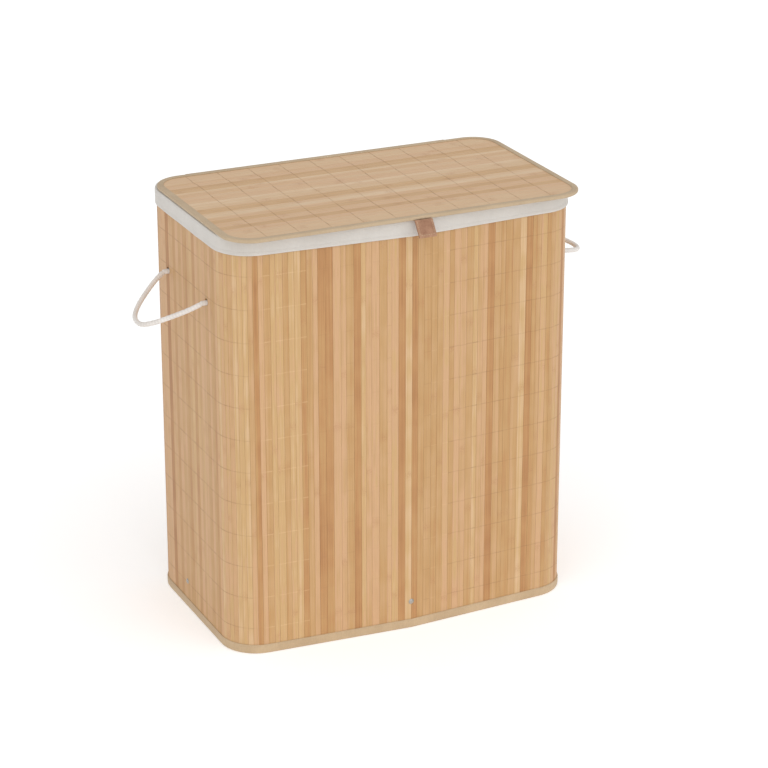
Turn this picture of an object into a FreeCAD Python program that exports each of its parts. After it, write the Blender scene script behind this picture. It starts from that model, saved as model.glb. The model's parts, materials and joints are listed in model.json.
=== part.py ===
"""Laundry hamper: a bamboo slat wall on a cloth backing, a wire frame, a cotton liner,
two rope handles and a slat lid with a leather pull tab.

Units are millimetres. The origin is on the floor at the middle of the base, +Z is up,
the front (the side with the pull tab) faces -Y and the left rope handle is at -X.
"""
import FreeCAD
import Part
import Sketcher
import math
import os

# (alias, value, meaning). Lengths are millimetres and angles are degrees.
DIMENSIONS = [
    ("body_width", 520.0, "outer width of the slat wall, along X"),
    ("body_depth", 303.0, "outer depth of the slat wall at its sides, along Y"),
    ("rim_height", 601.0, "top of the tape that binds the wall's upper edge"),
    ("corner_radius", 52.0, "outer radius of the wall's four vertical corners"),
    ("fold_angle", 3.5, "how far each half of the front turns out to the middle fold"),
    ("slat_thick", 1.8, "thickness of a bamboo slat"),
    ("slat_seam", 0.3, "gap between two groups of slats"),
    ("cloth_thick", 0.8, "cloth that the slats are glued to"),
    ("tape_thick", 1.1, "binding tape of the wall"),
    ("bottom_tape_high", 13.0, "height of the bottom binding tape"),
    ("top_tape_high", 12.0, "height of the top binding tape"),
    ("cover_thick", 0.9, "cloth under the base board"),
    ("board_thick", 3.5, "base board"),
    ("liner_thick", 0.9, "cotton of the liner bag"),
    ("liner_gap", 0.2, "knots to the liner bag"),
    ("cuff_thick", 1.2, "hemmed cotton folded over the rim"),
    ("cuff_drop", 22.0, "how far the cuff hangs below the rim outside"),
    ("wire_thick", 4.0, "diameter of the frame's steel wire"),
    ("wire_low", 32.0, "height of the lower wire ring"),
    ("wire_drop", 25.0, "rim down to the upper wire ring"),
    ("pin_thick", 3.0, "shank of a base rivet"),
    ("pin_head", 8.0, "rivet head across"),
    ("pin_dome", 1.6, "height of the rivet's domed head"),
    ("pin_washer", 9.0, "rivet's washer across"),
    ("washer_thick", 1.2, "rivet's washer"),
    ("pin_play", 0.1, "clearance round the rivet's shank"),
    ("pin_gap", 1.5, "lower wire ring to the rivets' washers"),
    ("side_pin_back", 30.0, "how far the side rivets sit behind the middle"),
    ("rope_thick", 7.0, "diameter of the handle rope"),
    ("rope_play", 1.5, "clearance round the rope in its hole"),
    ("rope_sag", 1.0, "how far the rope rests below the middle of its hole"),
    ("rope_span", 142.0, "distance between the two holes of a handle"),
    ("rope_drop", 107.0, "rim down to the rope holes"),
    ("rope_clear", 2.5, "outer face of the slats to a rope hanging straight down"),
    ("rope_gap", 0.4, "clearance between a swinging rope and its fixed end"),
    ("left_droop", 28.0, "how far the resting left handle hangs below level"),
    ("right_droop", 20.0, "how far the resting right handle hangs below level"),
    ("knot_thick", 11.0, "knot on each end of the rope"),
    ("knot_gap", 0.2, "wall's cloth to the knot"),
    ("lid_side_over", 2.0, "left or right side of the wall out to that edge of the lid"),
    ("lid_front_over", 22.0, "front corners of the wall out to the front edge of the lid"),
    ("lid_back_gap", 2.0, "back edge of the lid to the cuff behind it"),
    ("lid_radius", 42.0, "corner radius of the lid"),
    ("lid_gap", 1.2, "cuff to the closed lid"),
    ("lid_tape", 1.0, "binding tape of the lid"),
    ("lid_hem", 9.0, "width of the lid's binding tape"),
    ("lid_board", 1.2, "board inside the lid"),
    ("hinge_end", 61.5, "side edge of the lid to the end of the cloth hinge"),
    ("hinge_cloth", 0.7, "cloth of the hinge"),
    ("hinge_lap", 14.0, "how far the hinge cloth laps onto the rim and the lid"),
    ("hinge_back", 2.4, "back edge of the lid to the line it turns about"),
    ("hinge_gap", 0.5, "clearance of each cloth leaf from that line"),
    ("tab_wide", 25.5, "width of the leather tab"),
    ("tab_side", 10.5, "middle of the walls to the middle of the tab, to the right"),
    ("tab_long", 24.5, "length of the tab beyond the line it turns about"),
    ("tab_thick", 3.0, "the tab's leather, doubled"),
    ("tab_clear", 0.4, "front edge of the lid to the tab hanging straight down"),
    ("tab_lean", 37.0, "how far the resting tab leans out from hanging straight"),
    ("tongue_thick", 0.8, "leather tongue between the lid and the cuff"),
    ("tongue_long", 26.0, "length of the tongue"),
    ("tongue_gap", 0.35, "clearance between the tongue and the tab"),
]

# Route of a handle rope: (toward the back, away from the wall) in the loop's own plane,
# measured from the middle of the line it swings about.
ROPE_ROUTE = [
    (62.0, 23.0),
    (45.0, 46.0),
    (30.0, 63.0),
    (8.0, 78.0),
    (-20.0, 79.5),
    (-37.0, 65.0),
    (-49.0, 47.0),
    (-63.0, 24.0),
]
ARC_SHARE = 0.45  # share of the shorter run that a bend's tangent takes
OVERSHOOT = 5.0  # how far cutting solids reach past what they cut

# Expressions that several sub-parts share.
HALF_WIDTH = "dims.body_width / 2"
HALF_DEPTH = "dims.body_depth / 2"
SIDE_STRAIGHT = "(dims.body_depth / 2 - dims.corner_radius)"
FRONT_STRAIGHT = "(dims.body_width / 2 - dims.corner_radius)"
CLOTH_IN = "(-dims.slat_thick - dims.cloth_thick)"
TAPE_IN = f"({CLOTH_IN} - dims.tape_thick)"
WIRE_LINE = f"({CLOTH_IN} - dims.wire_thick / 2)"
KNOT_IN = f"({CLOTH_IN} - dims.knot_gap - dims.knot_thick)"
BAG_OUT = f"({KNOT_IN} - dims.liner_gap)"
BAG_IN = f"({BAG_OUT} - dims.liner_thick)"
CUFF_OUT = "(dims.tape_thick + dims.cuff_thick)"
FLOOR_TOP = "(dims.cover_thick + dims.board_thick)"
CUFF_TOP = "(dims.rim_height + dims.cuff_thick)"
LID_LOW = f"({CUFF_TOP} + dims.lid_gap)"
LID_CORE_HIGH = "(dims.lid_board + dims.slat_thick)"
LID_THICK = f"({LID_CORE_HIGH} + 2 * dims.lid_tape)"
LID_LEFT = f"(-{HALF_WIDTH} - dims.lid_side_over)"
LID_RIGHT = f"({HALF_WIDTH} + dims.lid_side_over)"
LID_FRONT = f"(-{HALF_DEPTH} - dims.lid_front_over)"
LID_BACK = f"({HALF_DEPTH} + {BAG_IN} - dims.lid_back_gap)"
HINGE_LINE = f"({LID_BACK} + dims.hinge_back)"
WIRE_HIGH = "(dims.rim_height - dims.wire_drop)"
PIN_HEIGHT = "(dims.wire_low + dims.wire_thick / 2 + dims.pin_gap + dims.pin_washer / 2)"
ROPE_HEIGHT = "(dims.rim_height - dims.rope_drop)"
ROPE_PIVOT = "(dims.rope_clear + dims.rope_thick / 2)"

doc = FreeCAD.newDocument("hamper")
dims = doc.addObject("Spreadsheet::Sheet", "dims")
parts = []


def fill_sheet():
    """Write every driving dimension into the sheet under its alias."""
    for row, (alias, value, meaning) in enumerate(DIMENSIONS, start=1):
        dims.set(f"A{row}", meaning)
        dims.set(f"B{row}", str(value))
        dims.setAlias(f"B{row}", alias)
    doc.recompute()


def value(expression):
    """Return the number that an expression of sheet values stands for."""
    return float(dims.evalExpression(expression))


def bind(target, **expressions):
    """Bind properties of a document object to expressions; __ stands for a dot."""
    for name, expression in expressions.items():
        target.setExpression(name.replace("__", "."), expression)


def keep(target, label):
    """Name a finished sub-part and add it to the list that is written out."""
    target.Label = label
    parts.append(target)
    return target


def front_reach(offset):
    """Expression for how far the front fold stands from the middle, at an offset."""
    radius = f"(dims.corner_radius + {offset})"
    slant = f"({FRONT_STRAIGHT} + {radius} * sin(dims.fold_angle * 1 deg))"
    return (
        f"({SIDE_STRAIGHT} + {radius} * cos(dims.fold_angle * 1 deg)"
        f" + {slant} * tan(dims.fold_angle * 1 deg))"
    )


def plane_sketch(body, role, name, height="0"):
    """Attach a new sketch to one of the body's own origin planes, raised by height."""
    sketch = body.newObject("Sketcher::SketchObject", name)
    plane = next(item for item in body.Origin.OriginFeatures if item.Role == role)
    sketch.AttachmentSupport = [(plane, "")]
    sketch.MapMode = "FlatFace"
    bind(sketch, AttachmentOffset__Base__z=height)
    return sketch


def on_circle(centre, radius, angle):
    """Point of a circle in the sketch plane, at an angle in degrees."""
    turn = math.radians(angle)
    return FreeCAD.Vector(
        centre[0] + radius * math.cos(turn), centre[1] + radius * math.sin(turn), 0
    )


def add_outline(sketch, width, depth, radius, fold="0"):
    """Draw a rounded rectangle, whose front may fold outward at its middle.

    width and depth are the distances between the corner arcs' centres, radius is the
    arcs' radius and fold is the angle of each half of the front, all as expressions.
    """
    first = sketch.GeometryCount
    centre_x = value(width) / 2
    centre_y = value(depth) / 2
    arc_radius = value(radius)
    turn = value(fold)
    centres = [
        (centre_x, centre_y),
        (-centre_x, centre_y),
        (-centre_x, -centre_y),
        (centre_x, -centre_y),
    ]
    spans = [(0, 90), (90, 180), (180, 270 - turn), (270 + turn, 360)]
    ends = []
    for centre, (start, stop) in zip(centres, spans):
        middle = FreeCAD.Vector(centre[0], centre[1], 0)
        circle = Part.Circle(middle, FreeCAD.Vector(0, 0, 1), arc_radius)
        arc = Part.ArcOfCircle(circle, math.radians(start), math.radians(stop))
        sketch.addGeometry(arc, False)
        ends.append((on_circle(centre, arc_radius, start), on_circle(centre, arc_radius, stop)))
    arcs = [first + index for index in range(4)]
    links = [(0, 1), (1, 2), (3, 0)]
    if turn == 0:
        links.append((2, 3))
    for before, after in links:
        line = sketch.addGeometry(Part.LineSegment(ends[before][1], ends[after][0]), False)
        sketch.addConstraint(Sketcher.Constraint("Tangent", arcs[before], 2, line, 1))
        sketch.addConstraint(Sketcher.Constraint("Tangent", line, 2, arcs[after], 1))
    if turn != 0:
        add_fold(sketch, arcs, ends, turn, fold)
    for before, after, axis in ((0, 1, -2), (3, 2, -2), (0, 3, -1)):
        mirror = Sketcher.Constraint("Symmetric", arcs[before], 3, arcs[after], 3, axis)
        sketch.addConstraint(mirror)
    for arc in arcs[1:]:
        sketch.addConstraint(Sketcher.Constraint("Equal", arcs[0], arc))
    sizes = [
        (Sketcher.Constraint("Radius", arcs[0], arc_radius), radius),
        (Sketcher.Constraint("DistanceX", arcs[1], 3, arcs[0], 3, 2 * centre_x), width),
        (Sketcher.Constraint("DistanceY", arcs[3], 3, arcs[0], 3, 2 * centre_y), depth),
    ]
    for constraint, expression in sizes:
        index = sketch.addConstraint(constraint)
        sketch.setExpression(f"Constraints[{index}]", expression)


def add_fold(sketch, arcs, ends, turn, fold):
    """Draw the two halves of a folded front between the front corner arcs."""
    left = ends[2][1]
    right = ends[3][0]
    tip = FreeCAD.Vector(0, left.y + left.x * math.tan(math.radians(turn)), 0)
    near = sketch.addGeometry(Part.LineSegment(left, tip), False)
    far = sketch.addGeometry(Part.LineSegment(tip, right), False)
    sketch.addConstraint(Sketcher.Constraint("Tangent", arcs[2], 2, near, 1))
    sketch.addConstraint(Sketcher.Constraint("Tangent", far, 2, arcs[3], 1))
    sketch.addConstraint(Sketcher.Constraint("Coincident", near, 2, far, 1))
    sketch.addConstraint(Sketcher.Constraint("PointOnObject", near, 2, -2))
    index = sketch.addConstraint(Sketcher.Constraint("Angle", far, math.radians(turn)))
    sketch.setExpression(f"Constraints[{index}]", f"{fold} * 1 deg")


def wall_outline(sketch, offset):
    """Draw the wall's outline, moved outward by an offset from the slats' outer face."""
    add_outline(
        sketch,
        f"2 * {FRONT_STRAIGHT}",
        f"2 * {SIDE_STRAIGHT}",
        f"dims.corner_radius + {offset}",
        "dims.fold_angle",
    )


def lid_outline(sketch, inset):
    """Draw the lid's outline, moved inward by an inset from its bound edge."""
    add_outline(
        sketch,
        f"{LID_RIGHT} - {LID_LEFT} - 2 * dims.lid_radius",
        f"{LID_BACK} - {LID_FRONT} - 2 * dims.lid_radius",
        f"dims.lid_radius - {inset}",
    )


def wall_pad(name, offsets, low, high):
    """Pad one or two wall outlines from height low to height high."""
    body = doc.addObject("PartDesign::Body", name)
    sketch = plane_sketch(body, "XY_Plane", f"{name}_outline", low)
    for offset in offsets:
        wall_outline(sketch, offset)
    pad = body.newObject("PartDesign::Pad", f"{name}_pad")
    pad.Profile = sketch
    bind(pad, Length=f"{high} - {low}")
    return body


def lid_pad(name, insets, low, high):
    """Pad one or two lid outlines; low and high are measured from the lid's underside."""
    body = doc.addObject("PartDesign::Body", name)
    sketch = plane_sketch(body, "XY_Plane", f"{name}_outline", f"{LID_LOW} + {low}")
    bind(
        sketch,
        AttachmentOffset__Base__x=f"({LID_LEFT} + {LID_RIGHT}) / 2",
        AttachmentOffset__Base__y=f"({LID_FRONT} + {LID_BACK}) / 2",
    )
    for inset in insets:
        lid_outline(sketch, inset)
    pad = body.newObject("PartDesign::Pad", f"{name}_pad")
    pad.Profile = sketch
    bind(pad, Length=f"{high} - {low}")
    return body


def block(name, spans):
    """Box from three (low, high) pairs of expressions, along X, Y and Z."""
    box = doc.addObject("Part::Box", name)
    for side, place, (low, high) in zip(("Length", "Width", "Height"), "xyz", spans):
        box.setExpression(side, f"({high}) - ({low})")
        box.setExpression(f"Placement.Base.{place}", low)
    return box


def rod(name, thick, length, middle, axis):
    """Cylinder of a given thickness that starts at middle and runs along +X, +Y or +Z."""
    cylinder = doc.addObject("Part::Cylinder", name)
    turns = {"X": (FreeCAD.Vector(0, 1, 0), 90), "Y": (FreeCAD.Vector(1, 0, 0), -90)}
    if axis in turns:
        cylinder.Placement.Rotation = FreeCAD.Rotation(*turns[axis])
    bind(cylinder, Radius=f"{thick} / 2", Height=length)
    for place, expression in zip("xyz", middle):
        cylinder.setExpression(f"Placement.Base.{place}", expression)
    return cylinder


def ball(name, thick, middle):
    """Sphere of a given thickness round a middle point, with its poles along X."""
    sphere = doc.addObject("Part::Sphere", name)
    sphere.Placement.Rotation = FreeCAD.Rotation(FreeCAD.Vector(0, 1, 0), 90)
    bind(sphere, Radius=f"{thick} / 2")
    for place, expression in zip("xyz", middle):
        sphere.setExpression(f"Placement.Base.{place}", expression)
    return sphere


def boolean(kind, name, base, tool):
    """Part::Cut, Part::Common or Part::Fuse of two objects."""
    result = doc.addObject(f"Part::{kind}", name)
    result.Base = base
    result.Tool = tool
    return result


def join(name, pieces):
    """One solid out of several overlapping ones."""
    fused = doc.addObject("Part::MultiFuse", name)
    fused.Shapes = pieces
    return fused


def make_drills():
    """Cylinders that run right through the wall at the rivets and the rope holes."""
    reach = f"({HALF_WIDTH} + {OVERSHOOT})"
    pin_hole = "(dims.pin_thick + 2 * dims.pin_play)"
    rope_hole = "(dims.rope_thick + 2 * dims.rope_play)"
    front = f"-{front_reach('0')} - {OVERSHOOT}"
    depth = f"{HALF_DEPTH} + {front_reach('0')} + 2 * {OVERSHOOT}"
    drills = [
        rod("drill_pins_y", pin_hole, depth, ("0", front, PIN_HEIGHT), "Y"),
        rod(
            "drill_pins_x",
            pin_hole,
            f"2 * {reach}",
            (f"-{reach}", "dims.side_pin_back", PIN_HEIGHT),
            "X",
        ),
    ]
    for side, sign in (("front", "-"), ("back", "")):
        middle = (f"-{reach}", f"{sign}dims.rope_span / 2", f"{ROPE_HEIGHT} + dims.rope_sag")
        drills.append(rod(f"drill_rope_{side}", rope_hole, f"2 * {reach}", middle, "X"))
    return join("drills", drills)


def make_slats(drills):
    """The slat wall, in groups that meet at the corners' ends and the front fold."""
    bottom = "dims.tape_thick"
    top = "(dims.rim_height - dims.tape_thick)"
    ring = wall_pad("slat_ring", ("0", "(-dims.slat_thick)"), bottom, top)
    wall = boolean("Cut", "slat_wall", ring, drills)
    seam = "dims.slat_seam / 2"
    far_x = f"({HALF_WIDTH} + {OVERSHOOT})"
    far_back = f"({HALF_DEPTH} + {OVERSHOOT})"
    far_front = f"({front_reach('0')} + {OVERSHOOT})"
    left = (f"-{far_x}", f"-{FRONT_STRAIGHT} - {seam}")
    right = (f"{FRONT_STRAIGHT} + {seam}", far_x)
    front = (f"-{far_front}", f"-{SIDE_STRAIGHT} - {seam}")
    back = (f"{SIDE_STRAIGHT} + {seam}", far_back)
    middle_x = (f"-{FRONT_STRAIGHT} + {seam}", f"{FRONT_STRAIGHT} - {seam}")
    middle_y = (f"-{SIDE_STRAIGHT} + {seam}", f"{SIDE_STRAIGHT} - {seam}")
    zones = {
        "slats_front_left": ((middle_x[0], f"-{seam}"), front),
        "slats_front_right": ((seam, middle_x[1]), front),
        "slats_back": (middle_x, back),
        "slats_left": (left, middle_y),
        "slats_right": (right, middle_y),
        "slats_corner_front_left": (left, front),
        "slats_corner_front_right": (right, front),
        "slats_corner_back_left": (left, back),
        "slats_corner_back_right": (right, back),
    }
    for label, (span_x, span_y) in zones.items():
        zone = block(f"zone_{label}", (span_x, span_y, (bottom, top)))
        keep(boolean("Common", label, wall, zone), label)


def make_wall_cloth(drills):
    """The cloth that every slat is glued to, drilled like the slats."""
    offsets = ("(-dims.slat_thick)", CLOTH_IN)
    ring = wall_pad("cloth_ring", offsets, "dims.tape_thick", "(dims.rim_height - dims.tape_thick)")
    keep(boolean("Cut", "wall_cloth", ring, drills), "wall_cloth")


def make_wall_tapes():
    """Binding tapes folded round the bottom and the top edge of the slats and cloth."""
    outer = ("dims.tape_thick", TAPE_IN)
    inner = ("0", CLOTH_IN)
    low = wall_pad("bottom_tape_block", outer, "0", "dims.bottom_tape_high")
    low_slot = wall_pad("bottom_tape_slot", inner, "dims.tape_thick", "dims.bottom_tape_high")
    keep(boolean("Cut", "bottom_tape", low, low_slot), "bottom_tape")
    start = "(dims.rim_height - dims.top_tape_high)"
    high = wall_pad("top_tape_block", outer, start, "dims.rim_height")
    high_slot = wall_pad("top_tape_slot", inner, start, "(dims.rim_height - dims.tape_thick)")
    keep(boolean("Cut", "top_tape", high, high_slot), "top_tape")


def make_base():
    """Base board on its cloth cover, sewn to the bottom tape all round."""
    keep(wall_pad("base_cover", (TAPE_IN,), "0", "dims.cover_thick"), "base_cover")
    keep(wall_pad("base_board", (TAPE_IN,), "dims.cover_thick", FLOOR_TOP), "base_board")


def make_liner():
    """Cotton bag inside the wall, and its cuff folded outward over the rim."""
    bag = wall_pad("liner_bag", (BAG_OUT,), FLOOR_TOP, "dims.rim_height")
    doc.recompute()
    full = bag.Shape.Volume
    mouth = plane_sketch(bag, "XY_Plane", "liner_mouth", "dims.rim_height")
    wall_outline(mouth, BAG_IN)
    hollow = bag.newObject("PartDesign::Pocket", "liner_hollow")
    hollow.Profile = mouth
    bind(hollow, Length=f"dims.rim_height - {FLOOR_TOP} - dims.liner_thick")
    doc.recompute()
    if bag.Shape.Volume > 0.1 * full:
        raise ValueError("the liner bag was not hollowed")
    keep(bag, "liner_bag")
    start = "(dims.rim_height - dims.cuff_drop)"
    shell = wall_pad("cuff_block", (CUFF_OUT, BAG_IN), start, CUFF_TOP)
    past = f"({BAG_IN} - {OVERSHOOT})"
    slot = wall_pad("cuff_slot", ("dims.tape_thick", past), start, "dims.rim_height")
    keep(boolean("Cut", "liner_cuff", shell, slot), "liner_cuff")


def make_wire_ring(label, height):
    """Closed ring of round steel wire against the inside of the wall's cloth."""
    body = doc.addObject("PartDesign::Body", label)
    path = plane_sketch(body, "XY_Plane", f"{label}_path", height)
    wall_outline(path, WIRE_LINE)
    section = plane_sketch(body, "XZ_Plane", f"{label}_section")
    middle = FreeCAD.Vector(value(f"{HALF_WIDTH} + {WIRE_LINE}"), value(height), 0)
    circle = Part.Circle(middle, FreeCAD.Vector(0, 0, 1), value("dims.wire_thick / 2"))
    index = section.addGeometry(circle, False)
    sizes = [
        (Sketcher.Constraint("Radius", index, circle.Radius), "dims.wire_thick / 2"),
        (Sketcher.Constraint("DistanceX", -1, 1, index, 3, middle.x), f"{HALF_WIDTH} + {WIRE_LINE}"),
        (Sketcher.Constraint("DistanceY", -1, 1, index, 3, middle.y), height),
    ]
    for constraint, expression in sizes:
        number = section.addConstraint(constraint)
        section.setExpression(f"Constraints[{number}]", expression)
    pipe = body.newObject("PartDesign::AdditivePipe", f"{label}_pipe")
    pipe.Profile = section
    pipe.Spine = path
    pipe.Transition = "Right corner"
    keep(body, label)


def make_posts():
    """Upright wires in the four corners, from the lower ring to the upper one."""
    out = f"(dims.corner_radius + {WIRE_LINE}) * cos(45 deg)"
    low = "dims.wire_low + dims.wire_thick / 2"
    length = f"{WIRE_HIGH} - dims.wire_low - dims.wire_thick"
    for label, sign_x, sign_y in (
        ("post_front_left", "-", "-"),
        ("post_front_right", "", "-"),
        ("post_back_left", "-", ""),
        ("post_back_right", "", ""),
    ):
        middle = (
            f"{sign_x}({FRONT_STRAIGHT} + {out})",
            f"{sign_y}({SIDE_STRAIGHT} + {out})",
            low,
        )
        keep(rod(label, "dims.wire_thick", length, middle, "Z"), label)


def make_rivet(label, place, yaw, washer_play="0"):
    """Domed rivet with an inner washer; yaw turns its head from +X to its own side.

    washer_play is how far the washer stands off the cloth, where the wall is folded.
    """
    ball_radius = "((dims.pin_head / 2)^2 + dims.pin_dome^2) / (2 * dims.pin_dome)"
    dome = doc.addObject("Part::Sphere", f"{label}_dome")
    bind(
        dome,
        Radius=ball_radius,
        Angle1=f"asin(({ball_radius} - dims.pin_dome) / ({ball_radius}))",
        Placement__Base__x=f"dims.pin_dome - {ball_radius}",
    )
    dome.Placement.Rotation = FreeCAD.Rotation(FreeCAD.Vector(0, 1, 0), 90)
    inside = f"{CLOTH_IN} - dims.washer_thick - {washer_play}"
    start = (inside, "0", "0")
    length = f"dims.pin_dome / 2 - ({inside})"
    shank = rod(f"{label}_shank", "dims.pin_thick", length, start, "X")
    washer = rod(f"{label}_washer", "dims.pin_washer", "dims.washer_thick", start, "X")
    rivet = join(label, [dome, shank, washer])
    rivet.Placement.Rotation = FreeCAD.Rotation(FreeCAD.Vector(0, 0, 1), yaw)
    for axis, expression in zip("xyz", place):
        rivet.setExpression(f"Placement.Base.{axis}", expression)
    keep(rivet, label)


def make_rivets():
    """One rivet near the base in each of the four walls."""
    high = PIN_HEIGHT
    fold_depth = "dims.pin_washer / 2 * tan(dims.fold_angle * 1 deg)"
    make_rivet("rivet_front", ("0", f"-{front_reach('0')}", high), -90, fold_depth)
    make_rivet("rivet_back", ("0", HALF_DEPTH, high), 90)
    make_rivet("rivet_left", (f"-{HALF_WIDTH}", "dims.side_pin_back", high), 180)
    make_rivet("rivet_right", (HALF_WIDTH, "dims.side_pin_back", high), 0)


def make_rope_ends(side, sign):
    """Knots inside one side wall, with the rope out through its holes to the swing line."""
    knot_depth = f"({CLOTH_IN} - dims.knot_gap - dims.knot_thick / 2)"
    knot_x = f"{sign}({HALF_WIDTH} + {knot_depth})"
    pivot_x = f"{sign}({HALF_WIDTH} + {ROPE_PIVOT})"
    start_x = knot_x if sign == "" else pivot_x
    for name, side_sign in (("front", "-"), ("back", "")):
        label = f"rope_end_{side}_{name}"
        place = (f"{side_sign}dims.rope_span / 2", ROPE_HEIGHT)
        knot = ball(f"{label}_knot", "dims.knot_thick", (knot_x, *place))
        tip = ball(f"{label}_tip", "dims.rope_thick", (pivot_x, *place))
        length = f"{ROPE_PIVOT} - {knot_depth}"
        run = rod(f"{label}_run", "dims.rope_thick", length, (start_x, *place), "X")
        keep(join(label, [knot, run, tip]), label)


def rounded_path(points):
    """Wire of straight runs with a tangent arc at each inner point, and the arcs' radii."""
    edges = []
    radii = []
    start = points[0]
    for before, corner, after in zip(points, points[1:], points[2:]):
        arrive = (corner - before).normalize()
        leave = (after - corner).normalize()
        half_turn = arrive.getAngle(leave) / 2
        tangent = ARC_SHARE * min((corner - before).Length, (after - corner).Length)
        radius = tangent / math.tan(half_turn)
        inward = (leave - arrive).normalize()
        centre_gap = radius / math.cos(half_turn)
        enter = corner - arrive * tangent
        middle = corner + inward * (centre_gap - radius)
        exit_point = corner + leave * tangent
        edges.append(Part.LineSegment(start, enter).toShape())
        edges.append(Part.Arc(enter, middle, exit_point).toShape())
        radii.append(radius)
        start = exit_point
    edges.append(Part.LineSegment(start, points[-1]).toShape())
    return Part.Wire(edges), radii


def make_rope(side, sign):
    """Handle rope outside one side wall; the right one is the left one turned round."""
    label = f"rope_{side}"
    half_span = value("dims.rope_span / 2")
    thick = value("dims.rope_thick")
    droop = math.radians(value(f"dims.{side}_droop"))
    start_out = thick / 2 + value("dims.rope_gap")
    pivot = value(f"{HALF_WIDTH} + {ROPE_PIVOT}")
    flat_route = [(half_span, start_out), *ROPE_ROUTE, (-half_span, start_out)]
    points = []
    for back, out in flat_route:
        away = pivot + out * math.cos(droop)
        high = value(ROPE_HEIGHT) - out * math.sin(droop)
        points.append(FreeCAD.Vector(sign * away, -sign * back, high))
    path, radii = rounded_path(points)
    first = (points[1] - points[0]).normalize()
    circle = Part.Wire(Part.makeCircle(thick / 2, points[0], first))
    tube = path.makePipeShell([circle], True, False)
    expected = math.pi * (thick / 2) ** 2 * path.Length
    print(label, "length", round(path.Length, 1), "radii", [round(r, 1) for r in radii])
    if abs(tube.Volume / expected - 1) > 0.02:
        raise ValueError(f"{label}: the tube's volume doesn't match its length")
    feature = doc.addObject("Part::Feature", label)
    feature.Shape = tube
    feature.Placement = FreeCAD.Placement()
    keep(feature, label)


def make_lid():
    """Lid: a board and slats inside a folded binding tape."""
    tape = "dims.lid_tape"
    board_top = f"({tape} + dims.lid_board)"
    core_top = f"({tape} + {LID_CORE_HIGH})"
    keep(lid_pad("lid_board", (tape,), tape, board_top), "lid_board")
    keep(lid_pad("lid_slats", (tape,), board_top, core_top), "lid_slats")
    rim = lid_pad("lid_tape_block", ("0", "dims.lid_hem"), "0", LID_THICK)
    past = f"(dims.lid_hem + {OVERSHOOT})"
    slot = lid_pad("lid_tape_slot", (tape, past), tape, core_top)
    keep(boolean("Cut", "lid_tape", rim, slot), "lid_tape")


def make_hinge():
    """Two cloth leaves on either side of the line that the lid turns about."""
    across = (f"{LID_LEFT} + dims.hinge_end", f"{LID_RIGHT} - dims.hinge_end")
    start = f"{HINGE_LINE} + dims.hinge_gap"
    rim_leaf = (across, (start, f"{start} + dims.hinge_lap"), (CUFF_TOP, f"{CUFF_TOP} + dims.hinge_cloth"))
    keep(block("hinge_leaf_rim", rim_leaf), "hinge_leaf_rim")
    stop = f"{HINGE_LINE} - dims.hinge_gap"
    lid_leaf = (across, (f"{stop} - dims.hinge_lap", stop), (f"{LID_LOW} - dims.hinge_cloth", LID_LOW))
    keep(block("hinge_leaf_lid", lid_leaf), "hinge_leaf_lid")


def make_tab():
    """Leather tongue under the lid's front edge, and the doubled tab that hangs from it."""
    line_y = f"({LID_FRONT} - dims.tab_clear - dims.tab_thick / 2)"
    half = "dims.tab_wide / 2"
    tongue_front = f"({line_y} + dims.tab_thick / 2 + dims.tongue_gap)"
    tongue = (
        (f"dims.tab_side - {half}", f"dims.tab_side + {half}"),
        (tongue_front, f"{tongue_front} + dims.tongue_long"),
        (f"{LID_LOW} - dims.tongue_thick", LID_LOW),
    )
    keep(block("tab_tongue", tongue), "tab_tongue")
    straight = "dims.tab_long - dims.tab_thick / 2"
    thick = "dims.tab_thick"
    spans = ((f"-{half}", half), (f"-{thick} / 2", f"{thick} / 2"), (f"-({straight})", "0"))
    slab = block("tab_slab", spans)
    root = rod("tab_root", thick, "dims.tab_wide", (f"-{half}", "0", "0"), "X")
    fold = rod("tab_fold", thick, "dims.tab_wide", (f"-{half}", "0", f"-({straight})"), "X")
    tab = join("pull_tab", [slab, root, fold])
    bind(
        tab,
        Placement__Base__x="dims.tab_side",
        Placement__Base__y=line_y,
        Placement__Base__z=f"{LID_LOW} - dims.tongue_thick / 2",
        Placement__Rotation__Angle="-dims.tab_lean",
    )
    tab.Placement.Rotation.Axis = FreeCAD.Vector(1, 0, 0)
    keep(tab, "pull_tab")


def check_document():
    """Stop if any object failed or any sub-part has no sound solid."""
    for item in doc.Objects:
        if "Invalid" in item.State or "Error" in item.State:
            raise ValueError(f"{item.Label} failed: {item.State}")
    for part in parts:
        shape = part.Shape
        if shape.isNull() or not shape.isValid() or len(shape.Solids) != 1:
            raise ValueError(f"{part.Label} is not one sound solid")


def write_parts():
    """Write each sub-part to its own file."""
    os.makedirs("parts", exist_ok=True)
    for part in parts:
        part.Shape.exportStep(os.path.join("parts", f"{part.Label}.step"))
    print("wrote", len(parts), "sub-parts")


def build():
    """Make the whole hamper."""
    fill_sheet()
    drills = make_drills()
    make_slats(drills)
    make_wall_cloth(drills)
    make_wall_tapes()
    make_base()
    make_liner()
    make_wire_ring("wire_ring_low", "dims.wire_low")
    make_wire_ring("wire_ring_high", WIRE_HIGH)
    make_posts()
    make_rivets()
    make_rope_ends("left", "-")
    make_rope_ends("right", "")
    make_rope("left", -1)
    make_rope("right", 1)
    make_lid()
    make_hinge()
    make_tab()
    doc.recompute()
    check_document()
    write_parts()


build()
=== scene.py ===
"""A bamboo laundry hamper: slatted walls, cotton liner, hinged lid with a leather tab, rope handles.

Every size is in metres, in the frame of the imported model. The walls, the lid, the liner, the
handles and the tab are each a class that builds its own pieces around that frame.
"""

import json
import logging
import math
import random
from collections.abc import Callable, Iterable, Sequence
from dataclasses import dataclass
from enum import Enum

import bmesh
import bpy
from mathutils import Matrix, Vector
from mathutils import noise as field


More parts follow.
